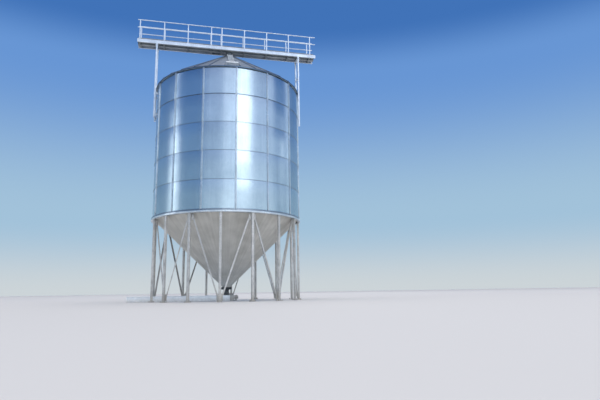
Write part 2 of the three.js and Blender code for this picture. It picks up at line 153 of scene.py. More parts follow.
def bolt(bm, at, out, width=0.03, tall=0.018):
    """A hexagon head, `width` across its flats, on its washer."""
    out = Vector(out).normalized()
    at = Vector(at)
    round_bar(bm, at - out * 0.001, at + out * 0.003, width * 0.62, sides=10)
    round_bar(bm, at, at + out * tall, width * 0.577, sides=6)


def made(bm, name, finish, crease=35):
    """Turns a finished mesh into an object with its material."""
    bmesh.ops.recalc_face_normals(bm, faces=bm.faces)
    mesh = bpy.data.meshes.new(name)
    bm.to_mesh(mesh)
    bm.free()
    mesh.shade_smooth()
    mesh.set_sharp_from_angle(angle=radians(crease))
    mesh.materials.append(finish)
    piece = bpy.data.objects.new(name, mesh)
    bpy.context.scene.collection.objects.link(piece)
    return piece


section_zinc = dipped_zinc("hot_dip_galvanised_sections", "#d3d1cd", "#a9a8a4", 0.03, 0.42, 0.4, 0.7)

for i in range(LEGS):
    bm = bmesh.new()
    half = LEG_WIDTH / 2
    outer = -LEG_R - half
    bar(bm, (-half, outer, BASE_THICK - 0.002), (half, -leg_inside, leg_top - HEAD_THICK), LEG_CORNER, 4,
        lengthwise=2)
    plate = BASE_PLATE / 2
    bar(bm, (-plate, -LEG_R - plate, 0), (plate, -LEG_R + plate, BASE_THICK), 0.003)
    head = HEAD_PLATE / 2
    bar(bm, (-head, outer, leg_top - HEAD_THICK), (head, -leg_inside, leg_top), 0.002)
    thin = RIB_THICK / 2
    for side in (-1, 1):
        # Four ribs stiffen the base plate, and a cleat on each side ties the head to the beam.
        flank = side * half
        bar(bm, (flank - thin, outer + 0.02, BASE_THICK), (flank + thin, outer + 0.08, FRONT_RIB_TOP))
        rib = side * (half + 0.022)
        bar(bm, (rib - 0.024, -LEG_R - thin, BASE_THICK), (rib + 0.024, -LEG_R + thin, SIDE_RIB_TOP), 0.0015)
        cleat = sorted((side * (half + 0.002), side * (half + 0.002 + CLEAT_THICK)))
        bar(bm, (cleat[0], outer + 0.01, leg_top - CLEAT_LOW), (cleat[1], outer + 0.09, leg_top - CLEAT_HIGH))
        bolt(bm, (side * (half + 0.014), outer + 0.05, leg_top - 0.1), (side, 0, 0), FRAME_BOLT, 0.014)
        bolt(bm, (side * 0.064, outer + 0.02, leg_top - HEAD_THICK), (0, 0, -1), 0.016, 0.012)
        for depth in (-1, 1):
            anchor = Vector((side * ANCHOR_AT, -LEG_R + depth * ANCHOR_AT, BASE_THICK))
            bolt(bm, anchor, (0, 0, 1), ANCHOR_NUT, 0.018)
            round_bar(bm, anchor, anchor + Vector((0, 0, ANCHOR_TALL)), ANCHOR_ROD, sides=10)
    if i % 2 == 1:
        wide = GUSSET_WIDE / 2
        bar(bm, (-wide, -leg_inside - 0.004, leg_top - GUSSET_LOW),
            (wide, -gusset_face, leg_top - GUSSET_HIGH), 0.003)
        for side in (-1, 1):
            for drop in (0.07, 0.23):
                at = (side * GUSSET_BOLTS_AT, -leg_inside, leg_top - drop)
                bolt(bm, at, (0, -1, 0), FRAME_BOLT, 0.012)
    bmesh.ops.rotate(bm, verts=bm.verts, matrix=Matrix.Rotation(FIRST_LEG + STEP * i, 3, "Z"))
    leg = made(bm, f"leg_{i + 1}_section", section_zinc)
    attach(leg, "root")
    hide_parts(f"leg_{i + 1}")

# Braces: steel angles that zigzag round the legs, dipped like them. Their shape in the frame is
# right, so they keep it, and get their zinc coat and the two bolts at each end.
bm = bmesh.new()
for i in range(LEGS):
    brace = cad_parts[f"brace_{i + 1}"]
    brace.data.materials.clear()
    brace.data.materials.append(section_zinc)
    even_leg = 2 * (i // 2)
    side = -1 if i % 2 == 0 else 1
    # Its foot is bolted to a plain leg, and its head to the gusset of a leg beside that.
    turn = Matrix.Rotation(FIRST_LEG + STEP * even_leg, 3, "Z")
    for sideways, height in ((0.035, 0.1), (0.1, 0.29)):
        at = Vector((side * sideways, -leg_inside + 0.016, height))
        bolt(bm, turn @ at, turn @ Vector((0, 1, 0)), FRAME_BOLT, 0.012)
    turn = Matrix.Rotation(FIRST_LEG + STEP * (even_leg + side), 3, "Z")
    for sideways, drop in ((0.12, 0.075), (0.07, 0.225)):
        at = Vector((-side * sideways, -gusset_face + 0.014, leg_top - drop))
        bolt(bm, turn @ at, turn @ Vector((0, 1, 0)), FRAME_BOLT, 0.012)
brace_bolts = made(bm, "brace_bolts", section_zinc)
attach(brace_bolts, "root")

# Ring beam: channels rolled to the wall's curve with their web outside, in eight lengths joined
# by bolted splice plates. The wall stands on it, and it stands on the legs' head plates. Its
# zinc mirrors the light as one blue-grey line round the silo.
RING_R = 3.48
RING_FLANGE = 0.135
RING_PLATE = 0.012
RING_LENGTHS = 8
SPLICE_HALF, SPLICE_EDGE = 0.1, 0.015
SEALANT_AND_SHADE = "#525d68"  # old sealant and dirt, and painted shade under laps and the wall's foot
FULL_TURN = 256  # steps of a full turn, so that the silo's edges look round
ring_low, ring_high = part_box("ring_beam")[0].z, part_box("ring_beam")[1].z


def turned(bm, outline, steps=FULL_TURN, sweep=2 * pi, soften=0.0):
    """Spins a closed outline of (radius, height) points about Z from -Y, and softens its edges."""
    corners = [bm.verts.new((0, -r, z)) for r, z in outline]
    sides = [bm.edges.new((a, b)) for a, b in zip(corners, corners[1:] + corners[:1])]
    full = abs(sweep - 2 * pi) < 1e-6
    bmesh.ops.spin(bm, geom=corners + sides, cent=(0, 0, 0), axis=(0, 0, 1), angle=sweep,
                   steps=steps, use_merge=full)
    if soften:
        sharp = [e for e in bm.edges if len(e.link_faces) == 2 and e.calc_face_angle() > 0.9]
        bmesh.ops.bevel(bm, geom=sharp, offset=soften, segments=2, profile=0.5, affect="EDGES", material=-1)


beam_zinc = dipped_zinc("hot_dip_galvanised_ring_channel", "#d8e1e8", "#b6c1cb", 0.04, 0.32, 0.88)
# A dark band lies along the upper edge of its web, right under the wall: old sealant and dirt,
# and painted shadow of the wall's foot.
tree = beam_zinc.node_tree
shader = tree.nodes["Principled BSDF"]
zinc = shader.inputs["Base Color"].links[0].from_socket
height = add_node(tree, "SeparateXYZ", {0: add_node(tree, "TexCoord").outputs["Object"]}).outputs[2]
edge = {0: height, 1: ring_high - 0.065, 2: ring_high - 0.045, 3: 0.0, 4: 0.75}
painted_shadow_band = add_node(tree, "MapRange", edge).outputs[0]
colour = add_node(tree, "Mix", {0: painted_shadow_band, 6: zinc, 7: linear(SEALANT_AND_SHADE)}, data_type="RGBA").outputs[2]
tree.links.new(colour, shader.inputs["Base Color"])
bm = bmesh.new()
tip = RING_R - RING_FLANGE
web = RING_R - RING_PLATE
turned(bm, [(tip, ring_low), (RING_R, ring_low), (RING_R, ring_high), (tip, ring_high),
            (tip, ring_high - RING_PLATE), (web, ring_high - RING_PLATE),
            (web, ring_low + RING_PLATE), (tip, ring_low + RING_PLATE)], soften=0.004)
for i in range(RING_LENGTHS):
    turn = Matrix.Rotation(FIRST_LEG + STEP * (2 * i + 0.5), 3, "Z")
    bar(bm, (-SPLICE_HALF, -RING_R - 0.003, ring_low + SPLICE_EDGE),
        (SPLICE_HALF, -RING_R + 0.009, ring_high - SPLICE_EDGE), 0.0015, place=turn.to_4x4())
    for sideways in (-0.075, -0.03, 0.03, 0.075):
        for height in (ring_low + 0.035, ring_high - 0.035):
            inside = turn @ Vector((sideways, -web + 0.001, height))
            bolt(bm, inside, turn @ Vector((0, 1, 0)), 0.022, 0.014)
ring_beam = made(bm, "ring_beam_channel", beam_zinc)
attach(ring_beam, "root")
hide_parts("ring_beam")

# Hopper: sixteen gores of thick sheet, lapped and bolted down their seams, hung by a rolled rim
# inside the ring beam. Its zinc has weathered to a warm matt grey, so it barely mirrors anything.
GORES = 16
GORE_STEP = 2 * pi / GORES
FIRST_GORE = radians(2.25)
HOPPER_FOOT, HOPPER_FOOT_R = 0.62, 0.17
RIM_R, RIM_FOOT = 3.3445, 3.69
SHEETS_FOOT, SHEETS_MIDDLE = 1.06, 2.4
HOPPER_THICK = 0.012
STRIP_HALF, STRIP_END, STRIP_BOLT_STEP = 0.028, 0.03, 0.12
flare = (RIM_R - HOPPER_FOOT_R) / (RIM_FOOT - HOPPER_FOOT)


def hopper_r(height):
    """The hopper's outer radius at a height."""
    return HOPPER_FOOT_R + (height - HOPPER_FOOT) * flare


def crowned(bm, parts, first, dip, axis_share=1.0):
    """Draws each of `parts` equal panels in by `dip` at its middle, as sheets pulled tight lie."""
    span = 2 * pi / parts
    for v in bm.verts:
        across = ((atan2(v.co.x, -v.co.y) - first) / span) % 1 * 2 - 1
        r = hypot(v.co.x, v.co.y)
        share = dip * (1 - across * across) * min(1.0, r * axis_share) / max(r, 1e-6)
        v.co.x -= v.co.x * share
        v.co.y -= v.co.y * share


def matt_zinc(name):
    """Weathered zinc: matt warm grey, with blotches, faint streaks down the slope and dull specks."""
    finish = bpy.data.materials.new(name)
    finish.use_nodes = True
    tree = finish.node_tree
    shader = tree.nodes["Principled BSDF"]
    shader.inputs["Metallic"].default_value = 0.35
    where = add_node(tree, "TexCoord").outputs["Object"]
    place = add_node(tree, "SeparateXYZ", {0: where})
    back = add_node(tree, "Math", {0: place.outputs[1], 1: -1.0}, operation="MULTIPLY").outputs[0]
    angle = add_node(tree, "Math", {0: place.outputs[0], 1: back}, operation="ARCTAN2").outputs[0]
    gore = add_node(tree, "Math", {0: angle, 1: -FIRST_GORE}, operation="ADD").outputs[0]
    gore = add_node(tree, "Math", {0: gore, 1: 1 / GORE_STEP}, operation="MULTIPLY").outputs[0]
    gore = add_node(tree, "Math", {0: gore}, operation="FLOOR").outputs[0]
    lot = add_node(tree, "TexWhiteNoise", {"W": gore}, noise_dimensions="1D").outputs[0]
    # Streaks follow the slope: the noise is read by angle round the cone and slowly with height.
    fan = add_node(tree, "CombineXYZ", {0: angle, 2: place.outputs[2]}).outputs[0]
    fan = add_node(tree, "Mapping", {0: fan, 3: (26.0, 1.0, 0.7)}).outputs[0]
    streaks = add_node(tree, "TexNoise", {"Vector": fan, "Scale": 1.0, "Detail": 4}).outputs[0]
    clouds = add_node(tree, "TexNoise", {"Vector": where, "Scale": 1.7, "Detail": 6}).outputs[0]
    tone = add_node(tree, "Math", {0: lot, 1: 0.3, 2: clouds}, operation="MULTIPLY_ADD").outputs[0]
    tone = add_node(tree, "Math", {0: streaks, 1: 0.7, 2: tone}, operation="MULTIPLY_ADD").outputs[0]
    spread = add_node(tree, "MapRange", {0: tone, 1: 0.65, 2: 1.35}).outputs[0]
    colour = add_node(tree, "Mix", {0: spread, 6: linear("#d6d4cd"), 7: linear("#b3b1aa")}, data_type="RGBA")
    tree.links.new(colour.outputs[2], shader.inputs["Base Color"])
    rough = add_node(tree, "MapRange", {0: tone, 1: 0.65, 2: 1.35, 3: 0.52, 4: 0.72})
    tree.links.new(rough.outputs[0], shader.inputs["Roughness"])
    grain = add_node(tree, "TexNoise", {"Vector": where, "Scale": 40.0, "Detail": 3}).outputs[0]
    relief = add_node(tree, "Math", {0: grain, 1: 0.2, 2: streaks}, operation="MULTIPLY_ADD").outputs[0]
    bump = add_node(tree, "Bump", {"Strength": 0.3, "Distance": 0.004, "Height": relief})
    tree.links.new(bump.outputs[0], shader.inputs["Normal"])
    return finish


hopper_zinc = matt_zinc("weathered_zinc_sheet")

bm = bmesh.new()
inset = HOPPER_THICK * 1.4
turned(bm, [(hopper_r(SHEETS_FOOT), SHEETS_FOOT), (hopper_r(SHEETS_MIDDLE), SHEETS_MIDDLE),
            (RIM_R - 0.0005, RIM_FOOT), (RIM_R - 0.0005, ring_high - 0.001),
            (RIM_R - HOPPER_THICK, ring_high - 0.001), (RIM_R - HOPPER_THICK, RIM_FOOT + 0.005),
            (hopper_r(SHEETS_MIDDLE - inset), SHEETS_MIDDLE), (hopper_r(SHEETS_FOOT - inset), SHEETS_FOOT)])
crowned(bm, GORES, FIRST_GORE, 0.006)
slope = Vector((0, -(RIM_R - hopper_r(SHEETS_FOOT)), RIM_FOOT - SHEETS_FOOT))
out = Vector((0, -slope.z, slope.y)).normalized()
for i in range(GORES):
    turn = Matrix.Rotation(FIRST_GORE + GORE_STEP * i, 4, "Z")
    foot = Vector((0, -hopper_r(SHEETS_FOOT + STRIP_END), SHEETS_FOOT + STRIP_END))
    lap = turn @ facing(foot, slope)
    # Each seam is a lap with a cover strip: the strip lies flat on the slope.
    length = slope.length - 2 * STRIP_END
    bar(bm, (-STRIP_HALF, -0.002, 0), (STRIP_HALF, 0.004, length), 0.001, 1, place=lap)
    steps = int(length / STRIP_BOLT_STEP)
    for n in range(steps + 1):
        at = foot + slope.normalized() * (0.04 + (length - 0.08) * n / steps) + out * 0.003
        round_bar(bm, turn @ at, turn @ (at + out * 0.007), 0.011, sides=6, tip=0.006)
hopper = made(bm, "hopper_gores", hopper_zinc, 30)
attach(hopper, "root")
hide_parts("hopper_cone")

# Outlet cone: one rolled cone under the gores, lapped over their ends on the outside with a row of
# bolts, with a flange at its mouth for the slide gate. It has the gores' matt zinc.
MOUTH_FLANGE = 0.205
CONE_BOLTS, MOUTH_BOLTS = 48, 12
bm = bmesh.new()
top_r = hopper_r(SHEETS_FOOT)
flange_top = HOPPER_FOOT + 0.01
turned(bm, [(HOPPER_FOOT_R - 0.012, HOPPER_FOOT), (MOUTH_FLANGE, HOPPER_FOOT), (MOUTH_FLANGE, flange_top),
            (hopper_r(flange_top), flange_top), (top_r, SHEETS_FOOT), (top_r + 0.004, SHEETS_FOOT),
            (top_r + 0.055, SHEETS_FOOT + 0.05), (top_r + 0.05, SHEETS_FOOT + 0.055),
            (top_r - 0.012, SHEETS_FOOT - 0.002)], steps=96, soften=0.0015)
for n in range(CONE_BOLTS):
    turn = Matrix.Rotation(2 * pi * n / CONE_BOLTS, 3, "Z")
    at = Vector((0, -top_r - 0.028, SHEETS_FOOT + 0.024))
    round_bar(bm, turn @ at, turn @ (at + out * 0.009), 0.01, sides=6, tip=0.007)
for n in range(MOUTH_BOLTS):
    turn = Matrix.Rotation(2 * pi * n / MOUTH_BOLTS, 3, "Z")
    bolt(bm, turn @ Vector((0, -MOUTH_FLANGE + 0.015, flange_top)), (0, 0, 1), 0.016, 0.011)
outlet_cone = made(bm, "outlet_cone_sheet", hopper_zinc)
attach(outlet_cone, "root")
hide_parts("outlet_cone")

# Slide gate: a square frame of folded channels under the outlet cone, with a flat blade that is
# pulled out towards the front by a handle on two rods. Painted dark grey, and dusty.
gate_low, gate_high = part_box("outlet_gate")
GATE_HALF, GATE_BOX_HALF = 0.22, 0.18
GATE_PLATE, GATE_CHANNEL = 0.012, 0.03
ROD_AT, ROD_R = 0.06, 0.009
GRIP_HALF, GRIP_R = 0.09, 0.013
GATE_BOLTS, GATE_BOLT_STEP = 4, 0.113


def dull_paint(name, base, dusty):
    """Dark paint on steel: matt, chalked by weather, with grain dust lying in patches."""
    finish = bpy.data.materials.new(name)
    finish.use_nodes = True
    tree = finish.node_tree
    shader = tree.nodes["Principled BSDF"]
    where = add_node(tree, "TexCoord").outputs["Object"]
    patches = add_node(tree, "TexNoise", {"Vector": where, "Scale": 9.0, "Detail": 6}).outputs[0]
    spread = add_node(tree, "MapRange", {0: patches, 1: 0.45, 2: 0.8}).outputs[0]
    colour = add_node(tree, "Mix", {0: spread, 6: linear(base), 7: linear(dusty)}, data_type="RGBA")
    tree.links.new(colour.outputs[2], shader.inputs["Base Color"])
    rough = add_node(tree, "MapRange", {0: patches, 1: 0.3, 2: 0.8, 3: 0.45, 4: 0.8})
    tree.links.new(rough.outputs[0], shader.inputs["Roughness"])
    peel = add_node(tree, "TexNoise", {"Vector": where, "Scale": 160.0, "Detail": 2}).outputs[0]
    bump = add_node(tree, "Bump", {"Strength": 0.2, "Distance": 0.001, "Height": peel})
    tree.links.new(bump.outputs[0], shader.inputs["Normal"])
    return finish


gate_paint = dull_paint("dark_grey_gate_paint", "#3b4046", "#77736a")
bm = bmesh.new()
top, foot = gate_high.z, gate_low.z
rods, grip = foot + 0.055, gate_low.y + GRIP_R
for under in (top - GATE_PLATE, foot):
    bar(bm, (-GATE_HALF, -GATE_HALF, under), (GATE_HALF, GATE_HALF, under + GATE_PLATE), 0.002)
bar(bm, (-GATE_BOX_HALF, -GATE_BOX_HALF, foot + 0.006), (GATE_BOX_HALF, GATE_BOX_HALF, top - 0.006), 0.004)
for side in (-1, 1):
    low, high = sorted((side * (GATE_HALF - GATE_CHANNEL), side * GATE_HALF))
    bar(bm, (low, -GATE_HALF, foot), (high, GATE_HALF, top), 0.003)
    for n in range(GATE_BOLTS):
        bolt(bm, (side * GATE_HALF, -0.17 + GATE_BOLT_STEP * n, rods), (side, 0, 0), 0.02, 0.012)
    round_bar(bm, (side * ROD_AT, -GATE_HALF - 0.268, rods), (side * ROD_AT, -0.15, rods), ROD_R)
# The blade, the folded bar along its front edge, and the grip that joins the rods' ends.
bar(bm, (-0.16, -GATE_HALF - 0.012, foot + 0.05), (0.16, 0.0, foot + 0.058), 0.001)
bar(bm, (-0.17, -GATE_HALF - 0.03, foot + 0.035), (0.17, -GATE_HALF - 0.01, foot + 0.075), 0.003)
round_bar(bm, (-GRIP_HALF, grip, rods), (GRIP_HALF, grip, rods), GRIP_R, 20)
slide_gate = made(bm, "slide_gate", gate_paint)
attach(slide_gate, "root")
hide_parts("outlet_gate")

# Chute: a folded box of steel plate between the gate and the conveyor, with a bolted flange at
# each end. It has the gate's dark grey paint.
chute_low, chute_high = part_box("outlet_chute")
CHUTE_FLANGE, CHUTE_PLATE = 0.02, 0.01
CHUTE_BOLTS_AT, CHUTE_BOLT_STEP = 0.12, 0.09
bm = bmesh.new()
fold = Vector((CHUTE_FLANGE, CHUTE_FLANGE, 0))
bar(bm, chute_low + fold, chute_high - fold, 0.006, 3, lengthwise=2)
# The lower flange's bolt heads are on top of it, and the upper one's are under it.
for under, seat, up in ((chute_low.z, chute_low.z + CHUTE_PLATE, 1),
                        (chute_high.z - CHUTE_PLATE, chute_high.z - CHUTE_PLATE, -1)):
    bar(bm, (chute_low.x, chute_low.y, under), (chute_high.x, chute_high.y, under + CHUTE_PLATE), 0.0015)
    for n in range(3):
        along = CHUTE_BOLT_STEP * (n - 1)
        for side in (-1, 1):
            bolt(bm, (side * CHUTE_BOLTS_AT, along, seat), (0, 0, up), 0.013, 0.009)
            bolt(bm, (along, side * CHUTE_BOLTS_AT, seat), (0, 0, up), 0.013, 0.009)
chute = made(bm, "chute_box", gate_paint)
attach(chute, "root")
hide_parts("outlet_chute")

# Discharge conveyor: a folded trough on the ground in three flanged lengths, its lid held by
# clamps, with cross feet under it. Its zinc has weathered to a chalky white, dirty near the ground.
trough_zinc = dipped_zinc("chalky_galvanised_plate", "#fbfcfc", "#e6eaeb", 0.035, 0.45, 0.1, 0.18)
low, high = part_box("discharge_conveyor")
TROUGH_HALF, TROUGH_FOOT = 0.125, 0.012
LID_HALF, LID_PLATE, LID_LIP = 0.15, 0.008, 0.02
CLAMPS, CLAMP_STEP, CLAMP_FOOT, CLAMP_TOP = 8, 0.56, 0.17, 0.236
FLANGE_STEP, FLANGE_PLATE = 1.52, 0.008
CROSS_FEET, CROSS_FOOT_STEP = 6, 0.76
bm = bmesh.new()
bar(bm, (low.x, -TROUGH_HALF, TROUGH_FOOT), (high.x, TROUGH_HALF, high.z - 0.004), 0.004)
bar(bm, (low.x, low.y, high.z - LID_PLATE), (high.x, high.y, high.z), 0.002)
for side in (-1, 1):
    lip = sorted((side * (LID_HALF - 0.003), side * LID_HALF))
    bar(bm, (low.x, lip[0], high.z - LID_LIP), (high.x, lip[1], high.z - 0.004), 0.001, 1)
    rail = sorted((side * TROUGH_HALF, side * 0.14))
    bar(bm, (low.x, rail[0], 0.0), (high.x, rail[1], 0.03), 0.002)
    for n in range(CLAMPS):
        x, y = low.x + 0.3 + CLAMP_STEP * n, side * 0.142
        bar(bm, (x - 0.015, y - 0.008, CLAMP_FOOT), (x + 0.015, y + 0.008, CLAMP_TOP), 0.002)
        pivot = CLAMP_FOOT + 0.002
        round_bar(bm, (x, side * 0.13, pivot), (x, side * LID_HALF, pivot), 0.009, 10)
for x in (low.x + FLANGE_PLATE, low.x + FLANGE_STEP, low.x + 2 * FLANGE_STEP, high.x - FLANGE_PLATE):
    bar(bm, (x - FLANGE_PLATE, -LID_HALF, 0.0), (x + FLANGE_PLATE, LID_HALF, high.z), 0.002)
    for height in (0.06, 0.13, 0.2):
        for side in (-1, 1):
            bolt(bm, (x + FLANGE_PLATE, side * 0.138, height), (1, 0, 0), 0.014, 0.01)
for n in range(CROSS_FEET):
    x = low.x + 0.38 + CROSS_FOOT_STEP * n
    bar(bm, (x - 0.03, -0.148, 0.0), (x + 0.03, 0.148, TROUGH_FOOT), 0.002)
discharge = made(bm, "discharge_trough", trough_zinc)
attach(discharge, "root")
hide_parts("discharge_conveyor")

# Drive: the chain's end box with its bearings, and a ribbed electric motor on a foot plate beside
# it. Box and motor have gone the same dull grey as the legs.
drive_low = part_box("conveyor_drive")[0]
BOX_END, BOX_HALF, BOX_TOP = 0.36, 0.11, 0.24
FOOT_START, FOOT_END, FOOT_HALF, FOOT_THICK = 0.18, 0.5, 0.09, 0.02
MOTOR_R, MOTOR_Z = 0.08, 0.16
FINS, FIN_HALF = 24, 0.0018
BEARING_X, BEARING_Z, BEARING_R = 0.26, 0.14, 0.045
BEARING_BOLTS, BEARING_BOLTS_R = 4, 0.034
bm = bmesh.new()
bar(bm, (drive_low.x, -BOX_HALF, TROUGH_FOOT), (BOX_END, BOX_HALF, BOX_TOP), 0.006, 3)
bar(bm, (FOOT_START, -FOOT_HALF, 0.0), (FOOT_END, FOOT_HALF, FOOT_THICK), 0.003)
# The motor stands on a pedestal: its flange, its body, its fan cover, then fins and terminal box.
bar(bm, (0.42, -0.045, 0.015), (0.48, 0.045, 0.1), 0.004)
round_bar(bm, (0.355, 0, MOTOR_Z), (0.385, 0, MOTOR_Z), MOTOR_R, 32)
round_bar(bm, (0.38, 0, MOTOR_Z), (0.515, 0, MOTOR_Z), MOTOR_R * 0.86, 32)
round_bar(bm, (0.51, 0, MOTOR_Z), (0.549, 0, MOTOR_Z), MOTOR_R * 0.97, 32, tip=MOTOR_R * 0.9)
for n in range(FINS):
    turn = Matrix.Translation((0, 0, MOTOR_Z)) @ Matrix.Rotation(2 * pi * n / FINS, 4, "X")
    bar(bm, (0.39, -FIN_HALF, MOTOR_R * 0.8), (0.508, FIN_HALF, MOTOR_R * 0.985), 0.0008, 1, place=turn)
bar(bm, (0.415, -0.04, 0.225), (0.485, 0.04, 0.262), 0.005)
for side in (-1, 1):
    bearing = Vector((BEARING_X, 0, BEARING_Z))
    out = Vector((0, side, 0))
    round_bar(bm, bearing + 0.105 * out, bearing + 0.122 * out, BEARING_R, 24, tip=0.04)
    round_bar(bm, bearing + 0.12 * out, bearing + 0.128 * out, 0.016, 16)
    for n in range(BEARING_BOLTS):
        turn = 2 * pi * (n + 0.5) / BEARING_BOLTS
        around = BEARING_BOLTS_R * Vector((cos(turn), 0, sin(turn)))
        bolt(bm, bearing + around + 0.118 * out, out, 0.01, 0.007)
    for x in (0.2, 0.4, 0.48):
        bolt(bm, (x, side * 0.078, FOOT_THICK), (0, 0, 1), 0.016, 0.011)
drive = made(bm, "drive_box_and_motor", section_zinc)
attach(drive, "root")
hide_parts("conveyor_drive")

# Wall: five rings of fifteen smooth zinc-coated sheets. Each ring's foot laps over the ring under
# it, and a folded stiffener is bolted over every vertical seam. The sheets are pulled tight
# between the seams, so each is a little flatter than the wall's circle and mirrors on its own.
RINGS = 5
SHEETS = 15
SHEET_STEP = 2 * pi / SHEETS
FIRST_SEAM = radians(1)
WALL_R = 3.43
WALL_INSIDE = 3.418
LAP_R = WALL_R + 0.005
SHEET_DIP = 0.01
SHEET_FACETS = 34
RING_BOLTS, RING_BOLT_R = 16, 0.012  # bolts along a sheet's foot
CRYSTAL = 0.06
wall_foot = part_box("shell_ring_1")[0].z
ring_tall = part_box("shell_ring_2")[0].z - wall_foot

# Continuous-dip zinc on sheet, skin-passed: it mirrors softly, each sheet with a tone of its own,
# with pale run-off streaks under the laps. The crystals, really about 10 mm, are drawn at 60 mm.
bright_zinc = bpy.data.materials.new("bright_galvanised_sheet")
bright_zinc.use_nodes = True
tree = bright_zinc.node_tree
shader = tree.nodes["Principled BSDF"]
shader.inputs["Metallic"].default_value = 0.96
where = add_node(tree, "TexCoord").outputs["Object"]
place = add_node(tree, "SeparateXYZ", {0: where})
back = add_node(tree, "Math", {0: place.outputs[1], 1: -1.0}, operation="MULTIPLY").outputs[0]
angle = add_node(tree, "Math", {0: place.outputs[0], 1: back}, operation="ARCTAN2").outputs[0]
angle = add_node(tree, "Math", {0: angle, 1: -FIRST_SEAM}, operation="ADD").outputs[0]
column = add_node(tree, "Math", {0: angle, 1: 1 / SHEET_STEP}, operation="MULTIPLY").outputs[0]
column = add_node(tree, "Math", {0: column}, operation="FLOOR").outputs[0]
above = add_node(tree, "Math", {0: place.outputs[2], 1: -wall_foot}, operation="ADD").outputs[0]
level = add_node(tree, "Math", {0: above, 1: 1 / ring_tall}, operation="MULTIPLY").outputs[0]
row = add_node(tree, "Math", {0: level}, operation="FLOOR").outputs[0]
sheet_id = add_node(tree, "CombineXYZ", {0: column, 1: row}).outputs[0]
lot = add_node(tree, "TexWhiteNoise", {"Vector": sheet_id}).outputs[0]
clouds = add_node(tree, "TexNoise", {"Vector": where, "Scale": 0.9, "Detail": 4}).outputs[0]
cells = add_node(tree, "TexVoronoi", {"Vector": where, "Scale": 1 / CRYSTAL})
crystals = add_node(tree, "SeparateColor", {"Color": cells.outputs["Color"]}).outputs[0]
runs = add_node(tree, "Mapping", {0: where, 3: (7.0, 7.0, 0.35)}).outputs[0]
streaks = add_node(tree, "TexNoise", {"Vector": runs, "Scale": 1.6, "Detail": 5}).outputs[0]
tone = add_node(tree, "Math", {0: lot, 1: 0.45, 2: clouds}, operation="MULTIPLY_ADD").outputs[0]
tone = add_node(tree, "Math", {0: streaks, 1: 0.4, 2: tone}, operation="MULTIPLY_ADD").outputs[0]
speckled = add_node(tree, "Math", {0: crystals, 1: 0.1, 2: tone}, operation="MULTIPLY_ADD").outputs[0]
spread = add_node(tree, "MapRange", {0: speckled, 1: 0.6, 2: 1.5}).outputs[0]
sheet_colours = {0: spread, 6: linear("#bac8d0"), 7: linear("#97a9b5")}
colour = add_node(tree, "Mix", sheet_colours, data_type="RGBA").outputs[2]
# A thin dark line lies along each lap, darkest along the top one: sealant and dirt, and painted
# shade under the lap.
part = add_node(tree, "Math", {0: level}, operation="FRACT").outputs[0]
lap_shade_amount = add_node(tree, "MapRange", {0: row, 1: 3.0, 2: 4.0, 3: 0.35, 4: 0.95}).outputs[0]
line = add_node(tree, "MapRange", {0: part, 1: 0.012, 2: 0.036, 3: lap_shade_amount, 4: 0.0}).outputs[0]
colour = add_node(tree, "Mix", {0: line, 6: colour, 7: linear(SEALANT_AND_SHADE)}, data_type="RGBA").outputs[2]
tree.links.new(colour, shader.inputs["Base Color"])
rough = add_node(tree, "MapRange", {0: tone, 1: 0.6, 2: 1.5, 3: 0.19, 4: 0.27})
tree.links.new(rough.outputs[0], shader.inputs["Roughness"])
waves = add_node(tree, "TexNoise", {"Vector": where, "Scale": 1.1, "Detail": 1}).outputs[0]
bump = add_node(tree, "Bump", {"Strength": 0.4, "Distance": 0.012, "Height": waves}).outputs[0]
tree.links.new(bump, shader.inputs["Normal"])

for ring in range(RINGS):
    bm = bmesh.new()
    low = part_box(f"shell_ring_{ring + 1}")[0].z
    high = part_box(f"shell_ring_{ring + 1}")[1].z
    turned(bm, [(WALL_INSIDE, low), (LAP_R, low), (WALL_R, (low + high) / 2), (WALL_R, high - 0.025),
                (WALL_R - 0.003, high), (WALL_INSIDE, high)], steps=SHEETS * SHEET_FACETS)
    bmesh.ops.rotate(bm, verts=bm.verts, matrix=Matrix.Rotation(FIRST_SEAM, 3, "Z"))
    crowned(bm, SHEETS, FIRST_SEAM, SHEET_DIP)
    for i in range(SHEETS):
        for n in range(RING_BOLTS):
            spot = Matrix.Rotation(FIRST_SEAM + SHEET_STEP * (i + (n + 0.9) / (RING_BOLTS + 0.8)), 4, "Z")
            at = spot @ Vector((0, -LAP_R + 0.004, low + 0.026))
            round_bar(bm, at, at + spot @ Vector((0, -0.009, 0)), RING_BOLT_R, sides=6, tip=0.007)
    wall_ring = made(bm, f"wall_sheets_{ring + 1}", bright_zinc, 25)
    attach(wall_ring, "root")
    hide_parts(f"shell_ring_{ring + 1}")

